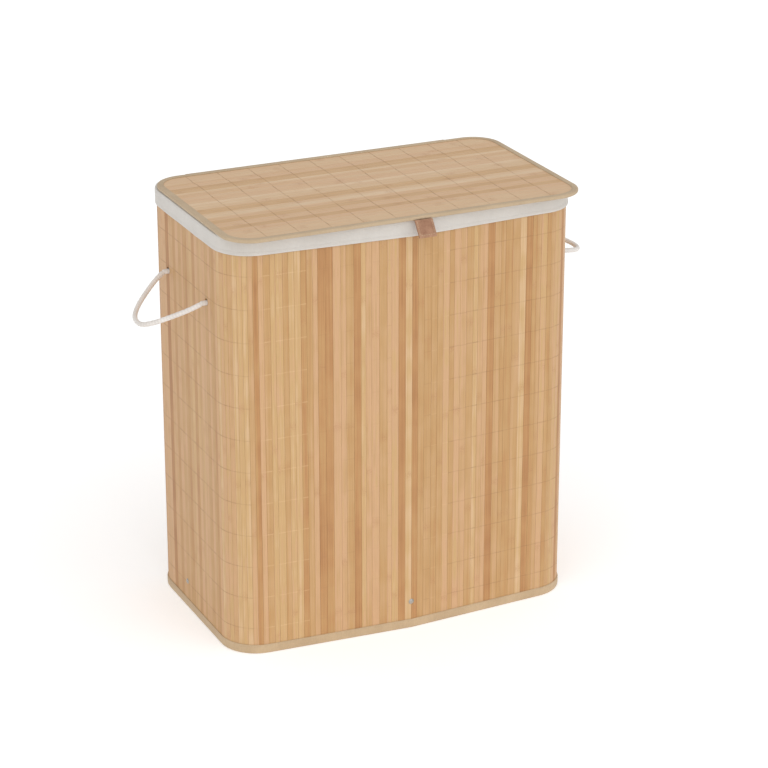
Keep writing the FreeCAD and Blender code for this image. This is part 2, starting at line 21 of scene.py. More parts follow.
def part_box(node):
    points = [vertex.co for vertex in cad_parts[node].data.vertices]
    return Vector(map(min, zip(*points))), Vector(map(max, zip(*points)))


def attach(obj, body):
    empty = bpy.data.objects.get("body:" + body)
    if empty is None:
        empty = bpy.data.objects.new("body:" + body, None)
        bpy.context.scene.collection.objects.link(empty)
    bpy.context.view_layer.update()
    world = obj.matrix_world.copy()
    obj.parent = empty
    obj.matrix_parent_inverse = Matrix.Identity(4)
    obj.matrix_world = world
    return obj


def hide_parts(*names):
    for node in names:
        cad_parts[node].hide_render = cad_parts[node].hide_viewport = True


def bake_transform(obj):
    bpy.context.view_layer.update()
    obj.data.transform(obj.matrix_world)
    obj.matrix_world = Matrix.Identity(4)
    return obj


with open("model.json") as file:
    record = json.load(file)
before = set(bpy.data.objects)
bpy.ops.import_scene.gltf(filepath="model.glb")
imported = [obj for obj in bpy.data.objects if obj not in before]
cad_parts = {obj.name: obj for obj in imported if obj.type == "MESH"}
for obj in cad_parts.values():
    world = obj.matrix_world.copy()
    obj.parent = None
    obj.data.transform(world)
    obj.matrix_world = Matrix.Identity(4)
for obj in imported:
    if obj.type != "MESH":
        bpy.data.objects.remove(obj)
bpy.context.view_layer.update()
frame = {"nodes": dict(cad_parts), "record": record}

LOG = logging.getLogger("hamper")
MM = 0.001
TAU = 2 * math.pi
UP = Vector((0, 0, 1))
ACROSS = Vector((1, 0, 0))
FRONT_RIGHT, LEFT_WALL, LEFT_CORNER, FRONT_LEFT = 0, 6, 7, 8

Mesh = bmesh.types.BMesh
Vert = bmesh.types.BMVert
Edge = bmesh.types.BMEdge
Layer = bmesh.types.BMLayerItem
Piece = bpy.types.Object
Material = bpy.types.Material
Socket = bpy.types.NodeSocket
Pair = tuple[float, float]
Triple = tuple[float, float, float]
Slat = tuple[float, float, float, float]


def tint(*rgb: float) -> Slat:
    """Turn a display colour from 0 to 255 into the linear one that shaders take, with full alpha."""
    parts = [part / 255 for part in rgb]
    return (*(p / 12.92 if p <= 0.04045 else ((p + 0.055) / 1.055) ** 2.4 for p in parts), 1.0)


class Along(Enum):
    """The way a slat runs, as the socket of its coordinate."""

    WALL = "Z"
    LID = "X"


class NodeDesk:
    """Lays out the nodes of one material."""

    def __init__(self, name: str) -> None:
        """Start a material with its shader.

        Args:
            name: The material's name.
        """
        self.material = bpy.data.materials.new(name)
        self.material.use_nodes = True
        self.tree = self.material.node_tree
        self.shader = self.tree.nodes["Principled BSDF"]

    def node(self, kind: str, inputs: dict | None = None, **settings: object) -> bpy.types.NodeOutputs:
        """Add one node.

        Args:
            kind: The node's type name, without what all of them start with.
            inputs: Values or sockets by input name or number.
            settings: Properties of the node.

        Returns:
            The node's outputs.
        """
        made = self.tree.nodes.new(f"ShaderNode{kind}")
        for key, value in settings.items():
            setattr(made, key, value)
        self.feed(made, inputs or {})
        return made.outputs

    def feed(self, made: bpy.types.Node, inputs: dict) -> None:
        """Link or set a node's inputs.

        Args:
            made: The node.
            inputs: Values or sockets by input name or number.
        """
        for key, value in inputs.items():
            if isinstance(value, Socket):
                self.tree.links.new(value, made.inputs[key])
            else:
                made.inputs[key].default_value = value

    def calc(self, operation: str, *values: object, clamp: bool = False) -> Socket:
        """Return what an operation makes of its values, kept from 0 to 1 on demand."""
        return self.node("Math", dict(enumerate(values)), operation=operation, use_clamp=clamp)[0]

    def plus(self, first: object, second: object, clamp: bool = False) -> Socket:
        """Return two values' sum."""
        return self.calc("ADD", first, second, clamp=clamp)

    def times(self, first: object, second: object) -> Socket:
        """Return two values' product."""
        return self.calc("MULTIPLY", first, second)

    def off_half(self, value: object) -> Socket:
        """Return how far the fraction of a value is from a half."""
        return self.calc("ABSOLUTE", self.calc("SUBTRACT", self.calc("FRACT", value), 0.5))

    def mix(self, factor: object, first: object, second: object, blend: str = "MIX") -> Socket:
        """Return two colours mixed by the second one's share."""
        inputs = {0: factor, 6: first, 7: second}
        return self.node("Mix", inputs, data_type="RGBA", blend_type=blend)[2]

    def stretch(self, vector: object, scale: Sequence[float], move: object = (0, 0, 0)) -> Socket:
        """Return coordinates scaled along each axis and moved."""
        return self.node("Mapping", {"Vector": vector, "Location": move, "Scale": scale})[0]

    def noise(self, vector: object, scale: float = 1.0, detail: float = 2.0, rough: float = 0.5) -> Socket:
        """Return a noise from 0 to 1, by its scale, its octaves and how strong the finer ones are."""
        inputs = {"Vector": vector, "Scale": scale, "Detail": detail, "Roughness": rough}
        return self.node("TexNoise", inputs)["Fac"]

    def span(self, value: object, *ends: float) -> Socket:
        """Return a value stretched from one range's low and high to another's, clamped."""
        return self.node("MapRange", dict(enumerate((value, *ends))))[0]

    def ramp(self, factor: object, stops: Iterable[tuple[float, Triple]]) -> Socket:
        """Run a value through a row of colours.

        Args:
            factor: The value.
            stops: Each display colour with its place, both outer ones first.

        Returns:
            The colour.
        """
        made = self.tree.nodes.new("ShaderNodeValToRGB")
        self.feed(made, {0: factor})
        elements = made.color_ramp.elements
        for number, (place, rgb) in enumerate(stops):
            spot = elements[number] if number < 2 else elements.new(place)
            spot.position = place
            spot.color = tint(*rgb)
        return made.outputs[0]

    def bump(self, height: object, distance: float, strength: float, under: Socket | None = None) -> Socket:
        """Return relief, by the height of 1 in metres and its strength, on top of other relief."""
        lower = {} if under is None else {"Normal": under}
        return self.node("Bump", {"Height": height, "Distance": distance, "Strength": strength, **lower})[0]

    def coordinates(self, name: str = "Object") -> Socket:
        """Return the piece's object or UV coordinates."""
        return self.node("TexCoord")[name]

    def split(self, vector: object) -> bpy.types.NodeOutputs:
        """Return the X, Y and Z of a vector."""
        return self.node("SeparateXYZ", {0: vector})

    def done(self, **inputs: object) -> Material:
        """Feed the shader's inputs of those names, with _ for a space, and return the material."""
        self.feed(self.shader, {key.replace("_", " "): value for key, value in inputs.items()})
        return self.material


@dataclass(frozen=True)
class BambooFinish:
    """Bamboo strips with streaks, fibres, knuckles and scored cross lines.

    The attribute slat holds each strip's tone, its scoring, its own number and its stagger.
    """

    name: str
    along: Along
    tones: tuple[tuple[float, Triple], ...]
    gloss: float
    lift: float = 0.0
    pitch: float = 46.5 * MM
    score_width: float = 0.42 * MM
    knuckle_rgb: Triple = (176, 124, 84)
    dark_score: Triple = (156, 114, 72)
    pale_score: Triple = (230, 196, 152)

    def grain(self, scale: float) -> list[float]:
        """Return a noise's scales, drawn out along the strips."""
        drawn = 0.012 * scale
        return [scale, scale, drawn] if self.along is Along.WALL else [drawn, scale, scale]

    def make(self) -> Material:
        """Return the material."""
        desk = NodeDesk(self.name)
        slat = desk.node("Attribute", attribute_name="slat")
        tone, scoring, number = desk.node("SeparateColor", {0: slat["Color"]})
        here = desk.coordinates()
        length = desk.split(here)[self.along.value]
        moves = {axis: desk.times(number, far) for axis, far in enumerate((31.0, 17.0, 23.0))}
        move = desk.node("CombineXYZ", moves)[0]
        strips = desk.noise(desk.stretch(here, self.grain(360.0), move), 1.0, 2.0, 0.6)
        fibres = desk.noise(desk.stretch(here, self.grain(1500.0), move), 1.0, 3.0, 0.7)
        clouds = desk.noise(desk.stretch(here, [26, 26, 26], move), 1.0, 1.0)
        shade = desk.plus(tone, desk.span(strips, 0.3, 0.7, -0.13, 0.13))
        shade = desk.plus(shade, desk.span(clouds, 0.3, 0.7, -0.07, 0.07), clamp=True)
        depth = dict.fromkeys(range(3), desk.span(fibres, 0.3, 0.72, 0.93, 1.05))
        colour = desk.mix(1.0, desk.ramp(shade, self.tones), desk.node("CombineColor", depth)[0], "MULTIPLY")

        turns = desk.calc("MULTIPLY_ADD", length, 3.6, desk.times(number, 9.0))
        knuckle = desk.span(desk.off_half(turns), 0.0, 0.035, 1.0, 0.0)
        specks = desk.span(desk.noise(here, 900.0, 1.0, 0.6), 0.42, 0.6, 0.0, 1.0)
        knuckle = desk.times(desk.times(knuckle, specks), 0.45)
        colour = desk.mix(knuckle, colour, tint(*self.knuckle_rgb))

        shift = desk.calc("SUBTRACT", slat["Alpha"], self.lift)
        rows = desk.plus(desk.calc("DIVIDE", length, self.pitch), shift)
        width = self.score_width / self.pitch
        score = desk.span(desk.off_half(rows), width, 2.2 * width, 1.0, 0.0)
        broken = desk.span(desk.noise(here, 160.0, 2.0), 0.36, 0.56, 0.55, 1.0)
        dark, pale = (
            desk.times(score, desk.times(desk.span(scoring, 0.5, end, 0.0, 1.0), broken))
            for end in (1.0, 0.0)
        )
        colour = desk.mix(dark, colour, tint(*self.dark_score))
        colour = desk.mix(pale, colour, tint(*self.pale_score))

        normal = desk.bump(fibres, 0.12 * MM, 0.5)
        normal = desk.bump(desk.calc("SUBTRACT", 1.0, dark), 0.3 * MM, 0.6, normal)
        rough = desk.span(strips, 0.3, 0.7, self.gloss - 0.06, self.gloss + 0.08)
        return desk.done(Base_Color=colour, Roughness=rough, Normal=normal, Specular_IOR_Level=0.45)


@dataclass(frozen=True)
class WovenFinish:
    """A plain or twill weave on the piece's own UV map, which is in metres."""

    name: str
    light: Triple
    dark: Triple
    thread: float
    slant: float
    relief: float
    sheen: float
    by_uv: bool = True

    def make(self) -> Material:
        """Return the material."""
        desk = NodeDesk(self.name)
        here = desk.coordinates()
        run, rise, deep = desk.split(desk.coordinates("UV") if self.by_uv else here)
        if not self.by_uv:
            run, rise = desk.plus(run, rise), desk.plus(deep, rise)
        lean = desk.calc("MULTIPLY_ADD", rise, self.slant, run)
        weft, warp = (desk.calc("SINE", desk.times(way, TAU / self.thread)) for way in (lean, rise))
        weave = desk.span(desk.times(weft, warp), -1.0, 1.0, 0.0, 1.0)
        slubs = desk.noise(desk.stretch(here, (700, 700, 120)), 1.0, 3.0, 0.6)
        clouds = desk.span(desk.noise(here, 24.0, 3.0, 0.55), 0.3, 0.7, -0.12, 0.25)
        depth = desk.plus(desk.times(weave, 0.35), desk.times(slubs, 0.5))
        return desk.done(
            Base_Color=desk.mix(desk.plus(depth, clouds, clamp=True), tint(*self.dark), tint(*self.light)),
            Roughness=desk.span(slubs, 0.3, 0.7, 0.78, 0.95),
            Normal=desk.bump(desk.plus(weave, desk.times(slubs, 0.6)), self.relief, 0.7),
            Specular_IOR_Level=0.2, Sheen_Weight=self.sheen, Sheen_Roughness=0.5,
        )


@dataclass(frozen=True)
class BraidFinish:
    """Braided cotton, with the yarns' slant on the cord's UV map."""

    name: str = "cotton_braid"
    light: Triple = (246, 241, 236)
    dark: Triple = (206, 198, 190)
    slant: float = 700.0
    turns: float = 12 * TAU

    def make(self) -> Material:
        """Return the material."""
        desk = NodeDesk(self.name)
        turn, run, _ = desk.split(desk.coordinates("UV"))
        one, two = (
            desk.calc("SINE", desk.calc("MULTIPLY_ADD", run, slant, desk.times(turn, self.turns)))
            for slant in (self.slant, -self.slant)
        )
        yarn = desk.span(desk.times(one, two), -1.0, 1.0, 0.0, 1.0)
        fluff = desk.noise(desk.coordinates(), 1400.0, 3.0, 0.6)
        clouds = desk.span(desk.noise(desk.coordinates(), 40.0, 2.0), 0.3, 0.7, 0.0, 0.3)
        depth = desk.plus(desk.times(yarn, 0.4), desk.times(fluff, 0.4))
        return desk.done(
            Base_Color=desk.mix(desk.plus(depth, clouds, clamp=True), tint(*self.dark), tint(*self.light)),
            Roughness=0.9,
            Normal=desk.bump(desk.plus(yarn, fluff), 0.25 * MM, 0.7),
            Specular_IOR_Level=0.2, Sheen_Weight=0.35, Sheen_Roughness=0.5,
        )


@dataclass(frozen=True)
class LeatherFinish:
    """Brown leather with a pebbled grain, creases and paler worn edges."""

    name: str = "brown_leather"
    light: Triple = (181, 139, 111)
    dark: Triple = (149, 106, 80)
    crease: Triple = (128, 86, 62)
    worn: Triple = (206, 165, 134)

    def make(self) -> Material:
        """Return the material."""
        desk = NodeDesk(self.name)
        here = desk.coordinates()
        cells = desk.node("TexVoronoi", {"Vector": here, "Scale": 1100.0}, feature="DISTANCE_TO_EDGE")[0]
        pebble = desk.span(cells, 0.0, 0.28, 0.0, 1.0)
        pores = desk.noise(here, 2600.0, 2.0, 0.6)
        clouds = desk.noise(here, 120.0, 4.0, 0.6)
        colour = desk.mix(desk.span(clouds, 0.32, 0.68, 0.0, 1.0), tint(*self.dark), tint(*self.light))
        colour = desk.mix(desk.span(pebble, 0.0, 0.6, 0.35, 0.0), colour, tint(*self.crease))
        edge = desk.node("NewGeometry")["Pointiness"]
        colour = desk.mix(desk.span(edge, 0.52, 0.6, 0.0, 0.55), colour, tint(*self.worn))
        normal = desk.bump(pores, 0.06 * MM, 0.5, desk.bump(pebble, 0.12 * MM, 0.6))
        rough = desk.span(clouds, 0.3, 0.7, 0.5, 0.68)
        return desk.done(Base_Color=colour, Roughness=rough, Normal=normal, Specular_IOR_Level=0.4)


@dataclass(frozen=True)
class SteelFinish:
    """Plain drawn or pressed steel with a brushed, slightly dulled skin."""

    name: str
    light: Triple
    dark: Triple
    rough: float

    def make(self) -> Material:
        """Return the material."""
        desk = NodeDesk(self.name)
        here = desk.coordinates()
        dull = desk.span(desk.noise(here, 500.0, 4.0, 0.65), 0.3, 0.7, 0.0, 1.0)
        scratch = desk.noise(desk.stretch(here, (2600, 2600, 240)), 1.0, 2.0)
        rough = desk.span(scratch, 0.3, 0.7, self.rough - 0.08, self.rough + 0.12)
        colour = desk.mix(dull, tint(*self.dark), tint(*self.light))
        normal = desk.bump(scratch, 0.02 * MM, 0.4)
        return desk.done(Base_Color=colour, Roughness=rough, Normal=normal, Metallic=1.0)


@dataclass(frozen=True)
class FibreboardFinish:
    """Pressed fibreboard: flecks of brown fibre under a smooth, matt face."""

    name: str = "fibreboard"
    tones: tuple[tuple[float, Triple], ...] = (
        (0.32, (128, 96, 66)), (0.68, (189, 158, 120)), (0.5, (164, 130, 94))
    )

    def make(self) -> Material:
        """Return the material."""
        desk = NodeDesk(self.name)
        here = desk.coordinates()
        flecks = desk.noise(desk.stretch(here, (420, 900, 900)), 1.0, 4.0, 0.7)
        dust = desk.noise(here, 2400.0, 2.0, 0.6)
        normal = desk.bump(desk.plus(flecks, dust), 0.05 * MM, 0.5)
        rough = desk.span(dust, 0.3, 0.7, 0.7, 0.9)
        colour = desk.ramp(flecks, self.tones)
        return desk.done(Base_Color=colour, Roughness=rough, Normal=normal, Specular_IOR_Level=0.25)


@dataclass(frozen=True)
class Label:
    """What a piece is called, the body that carries it and what it stands for."""

    name: str
    body: str
    slot: str
    stands_for: tuple[str, ...] = ()


def stand_up(shape: Mesh, name: str) -> Piece:
    """Turn a shape into an object.

    Args:
        shape: The shape, which is freed.
        name: The object's name.

    Returns:
        The object.
    """
    mesh = bpy.data.meshes.new(name)
    shape.to_mesh(mesh)
    shape.free()
    thing = bpy.data.objects.new(name, mesh)
    bpy.context.collection.objects.link(thing)
    return thing


@dataclass
class Workshop:
    """The finishes, made once, and the ways to put them on nodes and new pieces."""

    made: dict[str, Material]

    @classmethod
    def open(cls) -> "Workshop":
        """Make every finish.

        Returns:
            The workshop.
        """
        wall_tones = (
            (0.0, (170, 120, 74)), (1.0, (213, 178, 137)), (0.2, (186, 138, 89)), (0.38, (192, 151, 100)),
            (0.52, (198, 158, 112)), (0.66, (206, 164, 124)), (0.82, (200, 163, 111)),
        )
        lid_tones = (
            (0.0, (196, 155, 112)), (1.0, (224, 196, 163)), (0.3, (208, 171, 127)),
            (0.55, (215, 178, 141)), (0.78, (216, 184, 146)),
        )
        finishes = (
            BambooFinish("wall_bamboo", Along.WALL, wall_tones, 0.52, 0.32),
            BambooFinish("lid_bamboo_strips", Along.LID, lid_tones, 0.46),
            WovenFinish("khaki_tape", (212, 187, 153), (175, 149, 117), 1.1 * MM, 1.0, 0.12 * MM, 0.15),
            WovenFinish("lid_tape_twill", (208, 186, 155), (173, 150, 122), 1.1 * MM, 1.0, 0.12 * MM, 0.15),
            WovenFinish("tape_thread", (216, 196, 166), (176, 154, 124), 0.5 * MM, 0.6, 0.05 * MM, 0.2),
            # The cotton is a light grey, darker than its own white: partly painted shade, for the lid's
            # shadow over the cuff.
            WovenFinish("cotton_canvas", (218, 213, 207), (200, 195, 188), 0.7 * MM, 0.0, 0.09 * MM, 0.25),
            WovenFinish(
                "backing_cloth", (208, 190, 160), (176, 156, 126), 0.8 * MM, 0.0, 0.1 * MM, 0.1, by_uv=False
            ),
            BraidFinish(),
            LeatherFinish(),
            SteelFinish("drawn_wire", (176, 178, 180), (132, 134, 136), 0.34),
            SteelFinish("rivet_steel", (196, 192, 186), (150, 146, 140), 0.3),
            FibreboardFinish(),
        )
        return cls({finish.name: finish.make() for finish in finishes})

    def dress_node(self, finish: str, *nodes: str) -> None:
        """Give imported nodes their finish.

        Args:
            finish: The finish's name.
            nodes: The nodes' names.
        """
        for name in nodes:
            thing = frame["nodes"][name]
            thing.data.materials.clear()
            thing.data.materials.append(self.made[finish])
            LOG.info("node %s wears %s", name, finish)

    def put_out(
        self, shape: Mesh, label: Label, finish: str, smooth: bool = True, turned: bool = False
    ) -> Piece:
        """Turn a built shape into a finished piece.

        Args:
            shape: The shape, which is freed.
            label: Its name, body and slot.
            finish: Its finish's name.
            smooth: Whether its faces are shaded smooth where they meet gently.
            turned: Whether its faces already look the right way.

        Returns:
            The piece.
        """
        if not turned:
            bmesh.ops.recalc_face_normals(shape, faces=shape.faces)
        piece = stand_up(shape, label.name)
        piece.data.materials.append(self.made[finish])
        if smooth:
            piece.data.shade_smooth()
            piece.data.set_sharp_from_angle(angle=math.radians(40))
        if label.body:
            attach(piece, label.body)
        if label.stands_for:
            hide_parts(*label.stands_for)
        LOG.info("piece %s: %d faces on %s", label.name, len(piece.data.polygons), label.body or "two bodies")
        return piece


@dataclass(frozen=True)
class Station:
    """A place on an outline: base plus out times a distance is a point at that distance."""

    base: Vector
    out: Vector
    run: float

    def at(self, distance: float, height: float) -> Vector:
        """Return the point that far out and that high."""
        return Vector((*(self.base + self.out * distance), height))


@dataclass(frozen=True)
class RoundedLine:
    """A rectangle with rounded corners, whose front may be folded outwards at its middle."""

    left: float
    right: float
    front: float
    back: float
    radius: float
    fold: float = 0.0
    sides: int = 9

    def corner(self, number: int) -> tuple[Vector, float, float]:
        """Return the centre, start angle and end angle of a corner, which is an odd side."""
        quarter = math.pi / 2
        return (
            (Vector((self.right, self.front)), self.fold - quarter, 0.0),
            (Vector((self.right, self.back)), 0.0, quarter),
            (Vector((self.left, self.back)), quarter, math.pi),
            (Vector((self.left, self.front)), math.pi, 3 * quarter - self.fold),
        )[number // 2]

    def ends(self, number: int) -> tuple[tuple[Vector, Vector], tuple[Vector, Vector]]:
        """Return base and out at one side's start and end."""
        middle = (self.left + self.right) / 2
        depth = (self.right - self.left) / 2 * math.tan(self.fold)
        marks = [(Vector((middle, self.front - depth)), Vector((0, -1 / math.cos(self.fold))))]
        for odd in range(1, self.sides, 2):
            centre, *angles = self.corner(odd)
            marks += [(centre, Vector((math.cos(angle), math.sin(angle)))) for angle in angles]
        return marks[number], marks[(number + 1) % self.sides]

    def side(self, number: int, offset: float = 0.0) -> Callable[[float], Station]:
        """Return a function from a share of one side to its station.

        Args:
            number: 0 for the front's right half, then corner, side, corner and so on.
            offset: Run at the side's start.

        Returns:
            The function.
        """
        first, second = self.ends(number)

        def station(share: float) -> Station:
            """Return the station at that share of the side."""
            base, out = first[0].lerp(second[0], share), first[1].lerp(second[1], share)
            if number % 2:
                base, start, end = self.corner(number)
                angle = start + (end - start) * share
                out = Vector((math.cos(angle), math.sin(angle)))
            return Station(base, out, offset + share * self.span(number))

        return station

    def span(self, number: int) -> float:
        """Return the length of one side of the line."""
        if number % 2:
            _, start, end = self.corner(number)
            return (end - start) * self.radius
        one, two = (base + out * self.radius for base, out in self.ends(number))
        return (two - one).length

    def stations(self, step: float, bend: int) -> list[Station]:
        """Divide the whole line.

        Args:
            step: The longest step along a straight.
            bend: The steps round a corner.

        Returns:
            The stations, once round from the fold.
        """
        found, run = [], 0.0
        for number in range(self.sides):
            length = self.span(number)
            count = bend if number % 2 else max(1, math.ceil(length / step))
            make = self.side(number, run)
            found += [make(index / count) for index in range(count)]
            run += length
        return found

    def around(self) -> float:
        """Return the line's whole length."""
        return sum(self.span(number) for number in range(self.sides))


def wall_line() -> RoundedLine:
    """Read the wall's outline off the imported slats.

    Returns:
        The line at the slats' outer face.
    """
    side_low, side_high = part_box("slats_right")
    back_low, back_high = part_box("slats_back")
    radius = side_high[0] - back_high[0]
    return RoundedLine(back_low[0], back_high[0], side_low[1], side_high[1], radius, math.radians(3.5))


def lid_line(radius: float = 42 * MM) -> RoundedLine:
    """Return the outline at the hem's outer edge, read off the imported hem."""
    low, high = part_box("lid_tape")
    return RoundedLine(low[0] + radius, high[0] - radius, low[1] + radius, high[1] - radius, radius)


def at_level(level: float, *points: Pair) -> tuple[Pair, ...]:
    """Return a profile's points in metres from millimetres out and up from a level."""
    return tuple((out * MM, level + up * MM) for out, up in points)


def new_verts(made: dict) -> list[Vert]:
    """Return the vertices that an extrusion made."""
    return [item for item in made["geom"] if isinstance(item, Vert)]


def edges_between(verts: Iterable[Vert]) -> list[Edge]:
    """Return the edges that join neighbours of a row of vertices."""
    kept = set(verts)
    return list({edge for vert in kept for edge in vert.link_edges if edge.other_vert(vert) in kept})


def ease_edges(shape: Mesh, edges: Sequence[Edge], width: float, segments: int = 1) -> Sequence[Vert]:
    """Bevel edges.

    Args:
        shape: The mesh.
        edges: The edges.
        width: How far in the bevel starts.
        segments: Its steps.

    Returns:
        The new vertices.
    """
    made = bmesh.ops.bevel(
        shape, geom=edges, offset=width, segments=segments, profile=0.5, affect="EDGES", material=-1
    )
    return made["verts"]


def cut_across(shape: Mesh, place: Sequence[float], way: Sequence[float], clear: bool) -> None:
    """Cut a whole shape by the plane at a place, and clear what lies that way of it on demand."""
    geometry = shape.verts[:] + shape.edges[:] + shape.faces[:]
    bmesh.ops.bisect_plane(shape, geom=geometry, plane_co=place, plane_no=way, clear_outer=clear)


def pull_row(shape: Mesh, row: Sequence[Vert], spots: Iterable[Vector]) -> list[Vert]:
    """Extrude a row of vertices to new places.

    Args:
        shape: The mesh.
        row: The row.
        spots: Where its copies go, in its order.

    Returns:
        The new row.
    """
    fresh = set(new_verts(bmesh.ops.extrude_edge_only(shape, edges=edges_between(row))))
    pairs = ((edge.other_vert(vert), vert) for vert in fresh for edge in vert.link_edges)
    partner = {old: new for old, new in pairs if old not in fresh}
    pulled = [partner[vert] for vert in row]
    for vert, spot in zip(pulled, spots):
        vert.co = spot
    return pulled


def loft(shape: Mesh, rows: Sequence[Sequence[Vector]], ring: bool = True) -> list[list[Vert]]:
    """Draw a surface by extruding one row of points into the next.

    Args:
        shape: The mesh to add to.
        rows: The points of each row.
        ring: Whether the rows close on themselves.

    Returns:
        The rows of vertices.
    """
    first = [shape.verts.new(spot) for spot in rows[0]]
    for one, two in zip(first, first[1:] + first[:ring]):
        shape.edges.new((one, two))
    made = [first]
    for spots in rows[1:]:
        made.append(pull_row(shape, made[-1], spots))
    return made


def unroll(shape: Mesh, places: dict[Vert, Pair], whole: float) -> None:
    """Write the UV map of a surface that comes back to its start.

    Args:
        shape: The mesh.
        places: Each vertex's run and rise.
        whole: The run after which it is back at its start.
    """
    cloth = shape.loops.layers.uv.verify()
    for face in {face for vert in places for face in vert.link_faces}:
        far = max(places[loop.vert][0] for loop in face.loops)
        for loop in face.loops:
            run, rise = places[loop.vert]
            loop[cloth].uv = (run + whole if far - run > whole / 2 else run, rise)


def sweep_band(
    shape: Mesh,
    line: RoundedLine,
    stations: Sequence[Station],
    profile: Sequence[Pair],
    nudge: Callable[[Station, int], Pair] = lambda station, index: (0.0, 0.0),
    closed: bool = True,
) -> list[list[Vert]]:
    """Draw a profile round an outline.

    Args:
        shape: The mesh to add to.
        line: The outline.
        stations: Its stations.
        profile: Distances out from the outline with heights, in order.
        nudge: How far to move each point out and up.
        closed: Whether the profile's end joins its start.

    Returns:
        The rings of vertices.
    """
    rows, rises = [], [0.0]
    for index, (out, high) in enumerate(profile):
        moves = [nudge(station, index) for station in stations]
        rows.append([s.at(line.radius + out + more, high + up) for s, (more, up) in zip(stations, moves)])
        rises.append(rises[-1] + math.dist(profile[index], profile[(index + 1) % len(profile)]))
    rings = loft(shape, rows)
    if closed:
        ends = edges_between(rings[0]) + edges_between(rings[-1])
        bmesh.ops.bridge_loops(shape, edges=[edge for edge in ends if edge.is_boundary])
    places = {v: (s.run, rise) for ring, rise in zip(rings, rises) for v, s in zip(ring, stations)}
    unroll(shape, places, line.around())
    return rings


def add_stitch(shape: Mesh, middle: Vector, along: Vector, up: Vector, size: Triple) -> None:
    """Add one stitch, a small pillow that narrows at its ends.

    Args:
        shape: The mesh to add to.
        middle: Where it lies.
        along: The way it runs.
        up: The way it stands out.
        size: Its length, width and height.
    """
    along, up = along.normalized(), up.normalized()
    side = up.cross(along)
    turn = Matrix((along, side, up)).transposed().to_4x4()
    place = Matrix.Translation(middle) @ turn @ Matrix.Diagonal((*size, 1.0))
    for vert in bmesh.ops.create_cube(shape, size=1.0, matrix=place)["verts"]:
        local = vert.co - middle
        if local.dot(up) > 0:
            vert.co -= along * local.dot(along) * 0.45 + side * local.dot(side) * 0.45


@dataclass(frozen=True)
class Seam:
    """A row of stitches along an outline, with the fine steps that it is laid by."""

    step: float
    bend: int
    pitch: float
    spare: float
    size: Triple
    up: Vector | None = None

    def sew(self, line: RoundedLine, place: Callable[[Station], Pair]) -> Mesh:
        """Lay the stitches.

        Args:
            line: The outline.
            place: How far out and how high the seam lies at a station.

        Returns:
            The stitches.
        """
        shape = bmesh.new()
        end = line.around() - self.spare
        fine = line.stations(self.step, self.bend)
        goal = 0.0
        for station, following in zip(fine, fine[1:] + fine[:1]):
            if goal <= station.run <= end:
                goal += self.pitch
                spot = place(station)
                here = station.at(*spot)
                add_stitch(shape, here, following.at(*spot) - here, self.up or station.out.to_3d(), self.size)
        return shape


@dataclass
class Studio:
    """Pale floor, soft light and the camera."""

    eye: Triple = (-1.5085, -3.3013, 1.7404)
    yaw: float = -25.051
    pitch: float = 21.526
    lens: float = 129.14
    far: float = 100.0
    floor_size: float = 40.0
    sky: float = 0.60
    key: float = 1.32
    key_spread: float = 100.0
    glow: float = 0.25
    key_way: Triple = (-0.12, -0.72, 0.68)

    def build(self) -> None:
        """Set the floor, the lights and the camera."""
        self.aim_camera()
        self.lay_floor()
        self.light_room()

    def aim_camera(self) -> None:
        """Make the camera and give it to the scene."""
        data = bpy.data.cameras.new("camera")
        data.lens = self.lens
        data.clip_end = self.far
        camera = bpy.data.objects.new("camera", data)
        camera.location = self.eye
        camera.rotation_euler = (math.radians(90 - self.pitch), 0.0, math.radians(self.yaw))
        bpy.context.collection.objects.link(camera)
        bpy.context.scene.camera = camera

    def lay_floor(self) -> None:
        """Make the plain pale floor, just under the hamper."""
        shape = bmesh.new()
        bmesh.ops.create_grid(shape, x_segments=2, y_segments=2, size=self.floor_size)
        bmesh.ops.translate(shape, verts=shape.verts, vec=(0, 0, -0.3 * MM))
        floor = stand_up(shape, "floor")
        desk = NodeDesk("pale_floor")
        clouds = desk.span(desk.noise(desk.coordinates(), 1.5, 1.0), 0.3, 0.7, 0.0, 1.0)
        floor.data.materials.append(desk.done(
            Base_Color=desk.mix(clouds, tint(250, 250, 250), tint(252, 252, 252)), Roughness=0.9,
            Specular_IOR_Level=0.0, Emission_Color=(1.0, 1.0, 1.0, 1.0), Emission_Strength=self.glow,
        ))

    def light_room(self) -> None:
        """Light the room evenly, and hang one wide soft light in front and above."""
        world = bpy.data.worlds.new("room")
        world.use_nodes = True
        back = world.node_tree.nodes["Background"].inputs
        back["Color"].default_value = (1.0, 1.0, 1.0, 1.0)
        back["Strength"].default_value = self.sky
        bpy.context.scene.world = world
        bpy.context.scene.view_settings.view_transform = "Standard"
        data = bpy.data.lights.new("key", "SUN")
        data.energy = self.key
        data.angle = math.radians(self.key_spread)
        lamp = bpy.data.objects.new("key", data)
        lamp.rotation_euler = Vector(self.key_way).to_track_quat("Z", "Y").to_euler()
        bpy.context.collection.objects.link(lamp)


def settle(piece: Piece) -> None:
    """Apply a piece's modifiers to its mesh.

    Args:
        piece: The piece.
    """
    graph = bpy.context.evaluated_depsgraph_get()
    seen = piece.evaluated_get(graph)
    mesh = bpy.data.meshes.new_from_object(seen, preserve_all_data_layers=True, depsgraph=graph)
    piece.modifiers.clear()
    piece.data = mesh


def thicken(piece: Piece, thickness: float, offset: float) -> None:
    """Give a sheet its thickness.

    Args:
        piece: The sheet.
        thickness: How thick it becomes.
        offset: 1 to grow outwards, -1 to grow inwards.
    """
    coat = piece.modifiers.new("cloth", "SOLIDIFY")
    coat.thickness, coat.offset = thickness, offset
    settle(piece)


